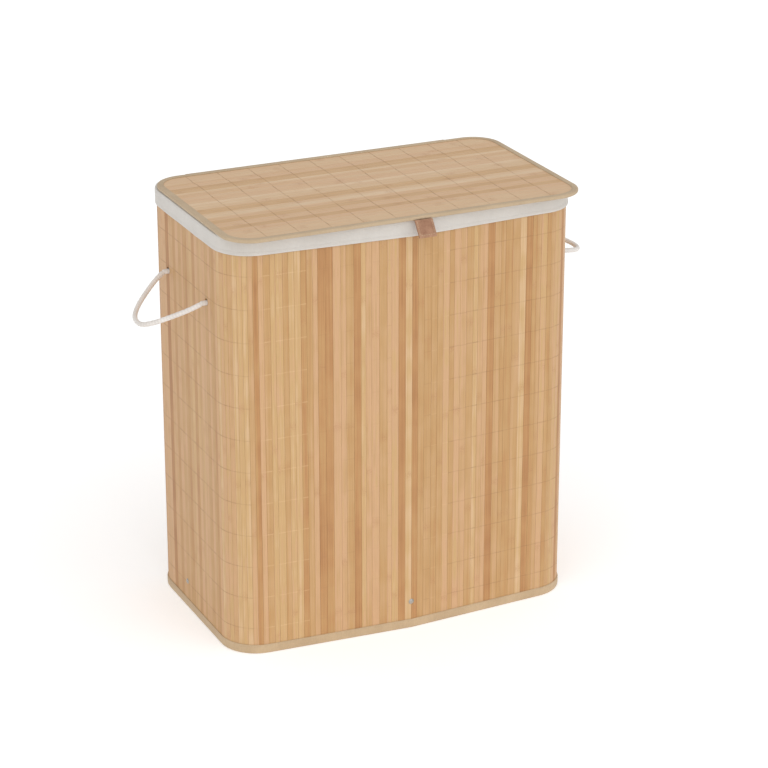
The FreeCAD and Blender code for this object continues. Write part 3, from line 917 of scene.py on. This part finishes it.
@dataclass
class SlatWalls:
    """The bamboo strips of the four walls and corners, glued side by side on their cloth."""

    shop: Workshop
    line: RoundedLine
    width: float = 9.2 * MM
    seam: float = 0.14 * MM
    ease: float = 0.16 * MM
    thick: float = 1.8 * MM
    hole_rise: float = 1.0 * MM
    hole_radius: float = 5.0 * MM
    seed: int = 11

    def build(self) -> None:
        """Build one piece for each run of strips."""
        low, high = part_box("slats_back")
        self.low, self.high = low[2], high[2]
        self.draw = random.Random(self.seed)
        runs = (
            "front_right", "corner_front_right", "right", "corner_back_right", "back",
            "corner_back_left", "left", "corner_front_left", "front_left",
        )
        for number, name in enumerate(runs):
            piece = self.build_run(number, f"slats_{name}")
            if name in ("right", "left"):
                self.drill(piece, name)
                self.even_out(piece)
        self.shop.dress_node("backing_cloth", "wall_cloth")

    def build_run(self, number: int, node: str) -> Piece:
        """Build the strips of one side of the outline.

        Args:
            number: The side's number on the outline.
            node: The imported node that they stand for.

        Returns:
            The strips.
        """
        shape = bmesh.new()
        tones = shape.verts.layers.float_color.new("slat")
        length = self.line.span(number)
        station = self.line.side(number)
        for start, end in self.cuts(length, number % 2 == 0):
            tone = self.tone_of(number, (start + end) / 2 / length)
            self.add_slat(shape, tones, (station(start / length), station(end / length)), tone)
        label = Label(f"bamboo_{node}", "hamper", "bamboo", (node,))
        return self.shop.put_out(shape, label, "wall_bamboo", False)

    def cuts(self, length: float, straight: bool) -> list[Pair]:
        """Share a run out among strips.

        Args:
            length: The run's length.
            straight: Whether widths vary.

        Returns:
            Each strip's start and end.
        """
        count = max(2, round(length / (self.width if straight else 0.75 * self.width)))
        weights = [self.draw.uniform(0.72, 1.28) if straight else 1.0 for _ in range(count)]
        whole = sum(weights)
        edges = [0.0]
        for weight in weights:
            edges.append(edges[-1] + weight / whole * length)
        half = self.seam / 2
        return [(a + half, b - half) for a, b in zip(edges, edges[1:])]

    def tone_of(self, number: int, share: float) -> Slat:
        """Draw one strip's values. Under half, its scoring is pale, and over half it is dark.

        Args:
            number: The side's number.
            share: How far along that side the strip is.

        Returns:
            Its tone, scoring, number and stagger.
        """
        pick = self.draw.random()
        reach = (0.12, 0.26) if pick < 0.1 else (0.32, 0.72) if pick < 0.78 else (0.72, 0.92)
        tone = self.draw.uniform(*reach)
        if number == FRONT_LEFT:
            scoring = self.draw.choice((0.34, 0.4, 0.45, 0.5) if share < 0.28 else (0.5, 0.5, 0.53, 0.57))
        elif number == LEFT_CORNER:
            scoring = self.draw.uniform(0.7, 0.8) - 0.42 * max(0.0, share - 0.35)
        elif number == FRONT_RIGHT:
            scoring = self.draw.uniform(0.6, 0.76) if share > 0.25 else self.draw.choice((0.5, 0.44, 0.6))
        else:
            scoring = self.draw.uniform(0.66, 0.84)
        # Painted shade: the left wall's strips are drawn a tone darker, for the shade on that side.
        if number == LEFT_WALL:
            tone -= 0.07
        return tone, scoring, self.draw.random(), self.draw.uniform(-0.006, 0.006)

    def add_slat(self, shape: Mesh, tones: Layer, ends: tuple[Station, Station], values: Slat) -> None:
        """Add one strip with eased long edges.

        Args:
            shape: The mesh to add to.
            tones: The layer that holds its values.
            ends: Its long edges' stations.
            values: Its tone, scoring, number and stagger.
        """
        first, last = ends
        face_out = self.line.radius - self.draw.uniform(0.0, 0.12) * MM
        face_in = self.line.radius - self.thick + 0.02 * MM
        corners = ((first, face_in), (last, face_in), (last, face_out), (first, face_out))
        verts = [shape.verts.new(place.at(out, self.low)) for place, out in corners]
        top = new_verts(bmesh.ops.extrude_face_region(shape, geom=[shape.faces.new(verts)]))
        bmesh.ops.translate(shape, verts=top, vec=(0, 0, self.high - self.low))
        outer = [
            edge for edge in {edge for vert in verts[2:] for edge in vert.link_edges}
            if abs(edge.verts[0].co.z - edge.verts[1].co.z) > 0.1
        ]
        for vert in {*verts, *top, *ease_edges(shape, outer, self.ease)}:
            if vert.is_valid:
                vert[tones] = values
                for edge in vert.link_edges:
                    edge.other_vert(vert)[tones] = values

    def drill(self, piece: Piece, side: str) -> None:
        """Drill the rope holes through a side's strips.

        Args:
            piece: The strips.
            side: The side's name.
        """
        shape = bmesh.new()
        turn = ACROSS.to_track_quat("Z", "Y").to_matrix().to_4x4()
        for end in ("front", "back"):
            low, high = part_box(f"rope_end_{side}_{end}")
            spot = (Vector(low) + Vector(high)) / 2 + UP * self.hole_rise
            bmesh.ops.create_cone(
                shape, cap_ends=True, segments=28, radius1=self.hole_radius, radius2=self.hole_radius,
                depth=60 * MM, matrix=Matrix.Translation(spot) @ turn,
            )
        bit = stand_up(shape, "bit")
        cut = piece.modifiers.new("holes", "BOOLEAN")
        cut.operation, cut.solver, cut.use_self, cut.object = "DIFFERENCE", "EXACT", False, bit
        settle(piece)
        bpy.data.objects.remove(bit)

    def even_out(self, piece: Piece) -> None:
        """Give every point of a drilled strip the values of its foot.

        Args:
            piece: The strips.
        """
        shape = bmesh.new()
        shape.from_mesh(piece.data)
        tones = shape.verts.layers.float_color["slat"]
        left = set(shape.verts)
        for foot in shape.verts:
            if foot not in left or foot.co.z > self.low + 1 * MM:
                continue
            values = foot[tones].copy()
            left.discard(foot)
            todo = [foot]
            while todo:
                vert = todo.pop()
                vert[tones] = values
                near = {edge.other_vert(vert) for edge in vert.link_edges} & left
                left -= near
                todo += near
        shape.to_mesh(piece.data)
        shape.free()


@dataclass
class EdgeBinding:
    """Woven tape folded over an edge, with a row of stitches."""

    shop: Workshop
    line: RoundedLine
    label: Label
    profile: tuple[Pair, ...]
    stitch_at: Pair
    stitch_up: Vector | None
    finish: str
    pitch: float = 4.2 * MM
    stitch: Triple = (3.1 * MM, 0.7 * MM, 0.5 * MM)

    def build(self) -> None:
        """Build the tape and its stitches."""
        shape = bmesh.new()
        sweep_band(shape, self.line, self.line.stations(14 * MM, 14), self.profile)
        self.shop.put_out(shape, self.label, self.finish)
        out, high = self.stitch_at
        seam = Seam(1.4 * MM, 64, self.pitch, self.pitch, self.stitch, self.stitch_up)
        stitches = seam.sew(self.line, lambda station: (self.line.radius + out, high))
        label = Label(f"{self.label.name}_stitches", self.label.body, self.label.slot)
        self.shop.put_out(stitches, label, "tape_thread", False)


def wall_binding(shop: Workshop, line: RoundedLine) -> EdgeBinding:
    """Return the tape that wraps the walls' lower edge."""
    (_, _, floor), (_, _, top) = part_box("bottom_tape")
    profile = (
        *at_level(top, (0.05, 0), (0.75, 0), (1.1, -0.4), (1.35, -3)),
        *at_level(floor, (1.4, 4), (1.1, 1.2), (0.6, 0.4), (-0.3, 0), (-3.0, 0), (-3.7, 0.5)),
        *at_level(top, (-3.7, 0), (-2.65, 0)),
        *at_level(floor, (-2.65, 1.05), (0.05, 1.05)),
    )
    label = Label("wall_binding", "hamper", "binding_tape", ("bottom_tape",))
    return EdgeBinding(shop, line, label, profile, (1.25 * MM, top - 2.2 * MM), None, "khaki_tape")


def lid_binding(shop: Workshop, line: RoundedLine) -> EdgeBinding:
    """Return the tape that wraps the lid's edge."""
    (_, _, under), (_, _, over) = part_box("lid_tape")
    profile = (
        *at_level(over, (-9, -0.3), (-8.6, 0), (-1.6, 0), (-0.6, -0.45), (0, -1.5)),
        *at_level(under, (0, 1.5), (-0.6, 0.45), (-1.6, 0), (-8.6, 0), (-9, 0.3), (-9, 1), (-1, 1)),
        *at_level(over, (-1, -1), (-9, -1)),
    )
    label = Label("lid_binding", "lid", "binding_tape", ("lid_tape",))
    return EdgeBinding(shop, line, label, profile, (-7.4 * MM, over + 0.05 * MM), UP, "lid_tape_twill")


@dataclass
class LidTop:
    """The bamboo strips of the lid, which run from side to side."""

    shop: Workshop
    line: RoundedLine
    width: float = 10.2 * MM
    seam: float = 0.35 * MM
    ease: float = 0.3 * MM
    seed: int = 5

    def build(self) -> None:
        """Cut each strip out of the lid's outline and raise it."""
        low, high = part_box("lid_slats")
        draw = random.Random(self.seed)
        shape = bmesh.new()
        shape.verts.layers.float_color.new("slat")
        count = round((high[1] - low[1]) / self.width)
        weights = [draw.uniform(0.75, 1.25) for _ in range(count)]
        step = (high[1] - low[1]) / sum(weights)
        start = low[1]
        for number, weight in enumerate(weights):
            end = start + weight * step
            tone = draw.choice((draw.uniform(0.15, 0.4), draw.uniform(0.45, 0.75), draw.uniform(0.5, 0.9)))
            stagger = 0.02 * (number // 5 % 2)
            values = (tone, draw.uniform(0.72, 0.9), draw.random(), stagger + draw.uniform(-0.006, 0.006))
            self.add_slat(shape, (start, end), (low[2], high[2] - draw.uniform(0, 0.12) * MM), values)
            start = end
        label = Label("bamboo_lid_slats", "lid", "lid_bamboo", ("lid_slats",))
        self.shop.put_out(shape, label, "lid_bamboo_strips", False)
        self.shop.dress_node("backing_cloth", "lid_board")

    def add_slat(self, shape: Mesh, reach: Pair, levels: Pair, values: Slat) -> None:
        """Add one strip of the lid.

        Args:
            shape: The mesh to add to.
            reach: Its front and back edges.
            levels: Its underside and top.
            values: Its tone, scoring, number and stagger.
        """
        plate = bmesh.new()
        own = plate.verts.layers.float_color.new("slat")
        inside = self.line.radius - 1.0 * MM
        plate.faces.new([plate.verts.new(s.at(inside, levels[0])) for s in self.line.stations(1.0, 24)])
        half = self.seam / 2
        for edge, way in ((reach[0] + half, -1), (reach[1] - half, 1)):
            cut_across(plate, (0, edge, 0), (0, way, 0), True)
        top = new_verts(bmesh.ops.extrude_face_region(plate, geom=plate.faces[:]))
        bmesh.ops.translate(plate, verts=top, vec=(0, 0, levels[1] - levels[0]))
        rims = [
            edge for edge in plate.edges
            if all(vert.co.z > sum(levels) / 2 for vert in edge.verts)
            and abs(edge.verts[0].co.y - edge.verts[1].co.y) < 0.01 * MM
            and edge.calc_length() > 20 * MM
        ]
        ease_edges(plate, rims, self.ease)
        for vert in plate.verts:
            vert[own] = values
        mesh = bpy.data.meshes.new("strip")
        plate.to_mesh(mesh)
        plate.free()
        shape.from_mesh(mesh)
        bpy.data.meshes.remove(mesh)


@dataclass
class CottonLiner:
    """The cotton bag that hangs inside, with its cuff turned out over the rim."""

    shop: Workshop
    line: RoundedLine
    cloth: float = 0.9 * MM
    skin: float = 2.3 * MM
    hem_rise: float = 5.4 * MM
    cuff_width: float = 40.5 * MM
    bag_flat: Pair = (1.44, 0.78)
    levels: int = 26

    def build(self) -> None:
        """Build the cuff, its hem stitches and the bag."""
        self.build_cuff()
        self.build_bag()

    @staticmethod
    def ease(station: Station, height: float) -> Pair:
        """Return how far the cuff's cloth lifts off and how far it drops at a place.

        Args:
            station: The station.
            height: The height there.

        Returns:
            The lift and the drop.
        """
        spot = Vector((station.run * 22, height * 40, 3.0))
        lift = max(field.noise(spot) * 0.55 + field.noise(spot * 2.7) * 0.25, -0.35)
        return lift * MM, field.noise(Vector((station.run * 14, 9.0, 0.0))) * 0.5 * MM

    def build_cuff(self) -> None:
        """Build the cuff over the rim."""
        (_, _, hem), (_, _, rim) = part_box("liner_cuff")
        over = ((-14.9, -1.2), (-14.9, 0), (-7.0, 0.1), (0.6, 0), (1.8, -0.5), (2.3, -1.8), (2.4, -6.0))
        below = ((2.4, 6.2), (2.15, 5.4), (2.5, 4.4), (2.75, 2.0), (2.4, 0.35), (1.6, 0), (1.25, 0.5))
        profile = (*at_level(rim, *over), *at_level(hem, *below), *at_level(rim, (1.2, -1.4)))

        skirt, hanging = range(5, 8), range(8, 13)

        def soft(station: Station, index: int) -> Pair:
            """Let the cloth ease in and out a little, most at its hem."""
            lift, drop = self.ease(station, profile[index][1])
            share = 1.0 if index in hanging else 0.45 if index in skirt else 0.0
            return lift * share, drop if skirt.stop <= index <= hanging.stop else 0.0

        shape = bmesh.new()
        sweep_band(shape, self.line, self.line.stations(7 * MM, 12), profile, soft)
        label = Label("liner_cuff_cloth", "hamper", "liner_cotton", ("liner_cuff",))
        cuff = self.shop.put_out(shape, label, "cotton_canvas")
        self.round_off(cuff)
        stitches = self.sew_hem(hem + self.hem_rise)
        self.line.around()

    def sew_hem(self, height: float) -> Piece:
        """Sew the cuff's hem and return the stitches.

        Args:
            height: The seam's height before the cloth drops.

        Returns:
            The stitches.
        """

        def place(station: Station) -> Pair:
            """Return where the seam lies on the eased cloth."""
            lift, drop = self.ease(station, height)
            return self.line.radius + self.skin + lift - 0.1 * MM, height + drop

        seam = Seam(1.2 * MM, 66, 4.0 * MM, 1.3 * MM, (2.9 * MM, 0.6 * MM, 0.45 * MM))
        label = Label("cuff_hem_stitches", "hamper", "liner_cotton")
        return self.shop.put_out(seam.sew(self.line, place), label, "cotton_canvas", False)

    def build_bag(self) -> None:
        """Build the bag: walls that fold a little on their way down, and a floor."""
        (_, _, floor), (_, _, top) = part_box("liner_bag")
        tall = top - floor
        straight = tall - 9 * MM
        walls = [(-14.2 * MM, top - straight * index / self.levels) for index in range(self.levels + 1)]
        profile = (*walls, *at_level(floor, (-15.5, 4.5), (-19, 1.6), (-26, 1.0)))

        def folds(station: Station, index: int) -> Pair:
            """Fold the cloth inwards, more towards its middle height."""
            run, share = station.run, min(1.0, (top - profile[index][1]) / tall)
            swell = math.sin(math.pi * min(1.0, share * 1.02)) ** 0.7 if share > 0 else 0.0
            slow = field.noise(Vector((run * 9, share * 1.6, 1.7)))
            quick = field.noise(Vector((run * 26 + share * 1.5, share * 2.2, 8.1)))
            crease = abs(field.noise(Vector((run * 15 - share * 2.0, share * 1.1, 5.0))))
            inward = 2.6 + 4.0 * slow + 1.6 * quick + 4.0 * crease
            return -max(inward, 0.2) * (0.25 if index > self.levels else swell) * MM, 0.0

        shape = bmesh.new()
        row = sweep_band(shape, self.line, self.line.stations(8 * MM, 10), profile, folds, closed=False)[-1]
        rims = [vert.co.copy() for vert in row]
        for share in (0.2, 0.42, 0.64, 0.84):
            row = pull_row(shape, row, [self.floor_spot(rim, share, floor) for rim in rims])
        bmesh.ops.triangle_fill(shape, use_beauty=True, edges=edges_between(row))
        cloth = shape.loops.layers.uv.verify()
        for face in shape.faces:
            if all(vert.co.z < floor + 4 * MM for vert in face.verts):
                for loop in face.loops:
                    loop[cloth].uv = loop.vert.co.xy
        bmesh.ops.recalc_face_normals(shape, faces=shape.faces)
        bmesh.ops.reverse_faces(shape, faces=shape.faces)
        label = Label("liner_bag_cloth", "hamper", "liner_cotton", ("liner_bag",))
        bag = self.shop.put_out(shape, label, "cotton_canvas", turned=True)
        thicken(bag, self.cloth, 1.0)
        self.round_off(bag)
        area = min(self.line.around() * 0.93 * tall + 0.47 * 0.25, self.bag_flat[0] * self.bag_flat[1])

    @staticmethod
    def floor_spot(rim: Vector, share: float, floor: float) -> Vector:
        """Return a point of the bag's floor.

        Args:
            rim: The point at the floor's rim.
            share: How far in from it.
            floor: The floor's height.

        Returns:
            The point, with its ripple.
        """
        spot = rim.lerp(Vector((max(-0.13, min(0.13, rim.x)), -0.005, rim.z)), share)
        ripple = field.noise(Vector((spot.x * 14, spot.y * 14, 2.0)))
        spot.z = floor + (1.2 + 1.4 * max(ripple, -0.4)) * MM
        return spot

    @staticmethod
    def round_off(piece: Piece) -> None:
        """Smooth a cloth piece with one subdivision."""
        smooth = piece.modifiers.new("smooth", "SUBSURF")
        smooth.levels = smooth.render_levels = 1


@dataclass
class HingeStrip:
    """The cloth strip sewn to the lid and to the rim behind it."""

    shop: Workshop
    thick: float = 0.6 * MM
    columns: int = 41

    def build(self) -> None:
        """Build the strip across the joint."""
        (left, rim_front, rim_top), (right, rim_back, _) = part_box("hinge_leaf_rim")
        (_, lid_front, lid_top), (_, lid_back, _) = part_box("hinge_leaf_lid")
        sewn = lid_top + 0.05 * MM
        rows = (
            (rim_back, rim_top + 0.05 * MM),
            (rim_back - 0.5 * MM, rim_top),
            ((rim_back + rim_front) / 2, rim_top),
            (rim_front + 1.5 * MM, rim_top),
            (rim_front, rim_top + 0.05 * MM),
            ((rim_front + lid_back) / 2, (rim_top + lid_top) / 2),
            (lid_back, lid_top - 0.05 * MM),
            (lid_back - 1.5 * MM, lid_top + 0.02 * MM),
            ((lid_back + lid_front) / 2, sewn),
            (lid_front + 0.5 * MM, sewn),
            (lid_front, sewn),
        )
        wide = right - left
        places = [left + wide * column / (self.columns - 1) for column in range(self.columns)]
        shape = bmesh.new()
        loft(shape, [[Vector((x, y, z)) for x in places] for y, z in rows], ring=False)
        cloth = shape.loops.layers.uv.verify()
        bmesh.ops.recalc_face_normals(shape, faces=shape.faces)
        for face in shape.faces:
            for loop in face.loops:
                loop[cloth].uv = loop.vert.co.xy
            if face.normal.z > 0:
                face.normal_flip()
        label = Label("hinge_strip", "", "binding_tape", ("hinge_leaf_rim", "hinge_leaf_lid"))
        strip = self.shop.put_out(shape, label, "khaki_tape", turned=True)
        thicken(strip, self.thick, -1.0)
        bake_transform(strip)


@dataclass
class BraidedCord:
    """Braided cotton cord: a round core whose yarns stand out in small diamonds."""

    radius: float = 3.5 * MM
    around: int = 24
    plaits: int = 6
    pitch: float = 15 * MM
    relief: float = 0.32 * MM

    def lay(self, shape: Mesh, path: Sequence[Vector], girth: Callable[[float], float]) -> None:
        """Draw the cord along a path and close its ends.

        Args:
            shape: The mesh to add to.
            path: The points to follow.
            girth: How thick it is, as a share of its radius, at each share of its length.
        """
        runs = [0.0]
        for one, two in zip(path, path[1:]):
            runs.append(runs[-1] + (two - one).length)
        rows = []
        normal = None
        for index, (point, run) in enumerate(zip(path, runs)):
            ahead = (path[min(index + 1, len(path) - 1)] - path[max(index - 1, 0)]).normalized()
            if normal is None:
                normal = ahead.cross(UP if abs(ahead.z) < 0.9 else Vector((0, 1, 0)))
            normal = (normal - ahead * normal.dot(ahead)).normalized()
            thick = self.radius * girth(run / runs[-1])
            rows.append([point + way for way in self.ring(normal, ahead.cross(normal), thick, run)])
        rings = loft(shape, rows)
        places = {v: (n / self.around, run) for ring, run in zip(rings, runs) for n, v in enumerate(ring)}
        unroll(shape, places, 1.0)
        for ring in (rings[0], rings[-1]):
            shape.faces.new(ring)

    def ring(self, normal: Vector, side: Vector, thick: float, run: float) -> list[Vector]:
        """Draw one ring of yarns.

        Args:
            normal: One way out of the cord.
            side: The way out a quarter turn on.
            thick: The cord's radius there.
            run: How far along the cord it is.

        Returns:
            The ring's points, from its middle.
        """
        points = []
        for number in range(self.around):
            angle, twist = TAU * number / self.around, TAU * run / self.pitch
            one, two = (math.cos(self.plaits / 2 * angle + turn) for turn in (twist, -twist))
            reach = thick - self.relief * (1 - abs(one * two) ** 0.6)
            points.append((normal * math.cos(angle) + side * math.sin(angle)) * reach)
        return points

    def rounding(self, left: float, least: float) -> float:
        """Return the girth that far from a rounded end, and no less than the least."""
        share = left / self.radius
        return 1.0 if share >= 1 else max(least, math.sqrt(max(0.0, 1 - (1 - share) ** 2)))


def joint_place(name: str) -> list[float]:
    """Return a joint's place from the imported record."""
    joints = frame["record"]["behaviour"]["joints"]
    return next(joint["pos_m"] for joint in joints if joint["name"] == name)


@dataclass
class RopeHandle:
    """One rope handle: the free loop, and its two ends with their knots inside the wall."""

    shop: Workshop
    side: str
    droop: float
    length: float = 0.2177
    knot_length: float = 11.0 * MM
    knot_girth: float = 1.55
    route: tuple[Pair, ...] = (
        (0.071, 0.0), (0.071, 0.0039), (0.062, 0.023), (0.045, 0.046), (0.030, 0.063), (0.008, 0.078),
        (-0.020, 0.0795), (-0.037, 0.065), (-0.049, 0.047), (-0.063, 0.024), (-0.071, 0.0039), (-0.071, 0.0),
    )

    def build(self) -> None:
        """Build the loop and its ends."""
        self.sign = -1.0 if self.side == "left" else 1.0
        line_x, _, self.height = joint_place(f"{self.side}_handle_swing")
        self.swing_line = abs(line_x)
        self.cord = BraidedCord()
        self.build_loop()
        for end in ("front", "back"):
            self.build_end(f"rope_end_{self.side}_{end}")

    def route_point(self, back: float, out: float) -> Vector:
        """Return a point of the route in the hanging plane of the handle."""
        x = self.swing_line + out * math.cos(self.droop)
        return Vector((self.sign * x, -self.sign * back, self.height - out * math.sin(self.droop)))

    def smooth_line(self) -> list[Vector]:
        """Draw the route as one smooth line.

        Returns:
            Points read off the line.
        """
        curve = bpy.data.curves.new(f"route_{self.side}", "CURVE")
        curve.dimensions = "3D"
        curve.resolution_u = 24
        spline = curve.splines.new("NURBS")
        spline.points.add(len(self.route) - 1)
        for spot, place in zip(spline.points, self.route):
            spot.co = (*self.route_point(*place), 1.0)
        spline.order_u = 3
        spline.use_endpoint_u = True
        holder = bpy.data.objects.new(f"route_{self.side}", curve)
        bpy.context.collection.objects.link(holder)
        graph = bpy.context.evaluated_depsgraph_get()
        mesh = bpy.data.meshes.new_from_object(holder.evaluated_get(graph))
        line = [vert.co.copy() for vert in mesh.vertices]
        bpy.data.objects.remove(holder)
        bpy.data.meshes.remove(mesh)
        return line

    def build_loop(self) -> None:
        """Build the free loop."""
        line = self.smooth_line()
        shape = bmesh.new()
        long = sum((two - one).length for one, two in zip(line, line[1:]))
        self.cord.lay(shape, line, lambda share: self.cord.rounding(min(share, 1 - share) * long, 0.2))
        label = Label(f"rope_loop_{self.side}", f"{self.side}_handle", "cotton_rope", (f"rope_{self.side}",))
        loop = self.shop.put_out(shape, label, "cotton_braid")
        LOG.info("rope %s measures %.4f", self.side, long)
        tuple(line[0])
        [tuple(point) for point in line]

    def build_end(self, node: str) -> None:
        """Build the rope's end: its knot behind the wall, and the short run through the hole.

        Args:
            node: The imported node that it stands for.
        """
        low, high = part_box(node)
        back = (low[1] + high[1]) / 2
        inner, outer = (high[0], low[0]) if self.sign < 0 else (low[0], high[0])
        start, finish = (Vector((x, back, self.height)) for x in (inner, outer))
        steps = 26
        path = [start.lerp(finish, index / steps) for index in range(steps + 1)]
        whole = abs(outer - inner)
        knot = self.knot_length / whole

        def girth(share: float) -> float:
            """Swell to the knot at the inner end and round off at the outer one."""
            if share < knot:
                angle = math.pi * min(max(share / knot, 0.04), 0.96)
                return max(self.knot_girth * math.sin(angle) ** 0.5, 1.0 if share > knot / 2 else 0.25)
            return self.cord.rounding((1.0 - share) * whole, 0.15)

        shape = bmesh.new()
        self.cord.lay(shape, path, girth)
        self.shop.put_out(shape, Label(f"{node}_braid", "hamper", "cotton_rope", (node,)), "cotton_braid")


@dataclass
class LeatherTab:
    """The pull tab: a leather strap folded double, sewn down its sides."""

    shop: Workshop
    length: float = 24.5 * MM
    thick: float = 3 * MM
    ply: float = 1.3 * MM
    ease: float = 0.3 * MM
    lean: float = math.radians(37)
    stitch: Triple = (2.3 * MM, 0.6 * MM, 0.45 * MM)

    def build(self) -> None:
        """Build the folded strap and its stitches, and dress the tongue on the lid."""
        self.down = Vector((0, -math.sin(self.lean), -math.cos(self.lean)))
        self.out = Vector((0, -math.cos(self.lean), math.sin(self.lean)))
        low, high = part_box("pull_tab")
        self.half_width = (high[0] - low[0]) / 2
        self.origin = Vector(joint_place("tab_swing"))
        self.origin.x = (low[0] + high[0]) / 2
        self.build_strap()
        self.sew()
        self.shop.dress_node("brown_leather", "tab_tongue")

    def spot(self, along: float, down: float, out: float) -> Vector:
        """Return a point by its distance along, down from and out from the tab's swing line."""
        return self.origin + ACROSS * along + self.down * down + self.out * out

    def build_strap(self) -> None:
        """Fold the strap and thicken it."""
        half = self.thick / 2
        slit = half - self.ply
        low = self.length - half
        bend = (0.5, 1.0, math.pi / 2, 2.14, 2.64)
        outline = [
            (0.0, half), (0.35 * low, half + 0.15 * MM), (0.75 * low, half), (low, half),
            *((low + half * math.sin(a), half * math.cos(a)) for a in bend),
            (low, -half), (0.5 * low, -half), (0.0, -half),
            *((-half * math.sin(a), -half * math.cos(a)) for a in (0.6, 1.2)),
            (-0.4 * MM, -slit), (0.5 * low, -slit), (low - slit, -slit), (low, 0.0), (low - slit, slit),
            (0.5 * low, slit), (-0.4 * MM, slit), (-half * 0.8, half * 0.35), (-half * 0.5, half * 0.8),
        ]
        shape = bmesh.new()
        face = shape.faces.new([shape.verts.new(self.spot(-self.half_width, *place)) for place in outline])
        moved = new_verts(bmesh.ops.extrude_face_region(shape, geom=[face]))
        bmesh.ops.translate(shape, verts=moved, vec=(2 * self.half_width, 0, 0))
        rims = [edge for edge in shape.edges if abs(edge.verts[0].co.x - edge.verts[1].co.x) < 0.01 * MM]
        ease_edges(shape, rims, self.ease, 2)
        for step in range(1, 6):
            cut_across(shape, (self.origin.x + self.half_width * (step / 3 - 1), 0, 0), ACROSS, False)
        self.shop.put_out(shape, Label("leather_pull_tab", "tab", "leather", ("pull_tab",)), "brown_leather")

    def sew(self) -> None:
        """Sew round the strap's three free sides."""
        shape = bmesh.new()
        edge, low = self.half_width - 2.2 * MM, self.length - 3.4 * MM
        spots = [(side * edge, 3 * MM + step * 3.2 * MM, self.down) for side in (-1, 1) for step in range(6)]
        spots += [((step - 2.5) * 3.4 * MM, low, ACROSS) for step in range(6)]
        for along, down, way in spots:
            add_stitch(shape, self.spot(along, down, self.thick / 2 + 0.1 * MM), way, self.out, self.stitch)
        self.shop.put_out(shape, Label("tab_stitches", "tab", "leather"), "tape_thread", False)


@dataclass
class HiddenParts:
    """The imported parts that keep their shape: boards, wires, posts and rivets."""

    shop: Workshop

    def build(self) -> None:
        """Dress each of them."""
        finishes = (
            ("base_cover", "backing_cloth"), ("base_board", "fibreboard"), ("top_tape", "khaki_tape"),
            ("wire_", "drawn_wire"), ("post", "drawn_wire"), ("rivet", "rivet_steel"),
        )
        for start, finish in finishes:
            self.shop.dress_node(finish, *sorted(name for name in frame["nodes"] if name.startswith(start)))


def main() -> None:
    """Build the hamper around the frame."""
    logging.basicConfig(level=logging.INFO, format="%(message)s")
    Studio().build()
    shop = Workshop.open()
    wall, lid = wall_line(), lid_line()
    for side, droop in (("left", 28.0), ("right", 20.0)):
        RopeHandle(shop, side, math.radians(droop)).build()
    SlatWalls(shop, wall).build()
    wall_binding(shop, wall).build()
    LidTop(shop, lid).build()
    lid_binding(shop, lid).build()
    CottonLiner(shop, wall).build()
    HingeStrip(shop).build()
    LeatherTab(shop).build()
    HiddenParts(shop).build()


if __name__ == "__main__":
    main()
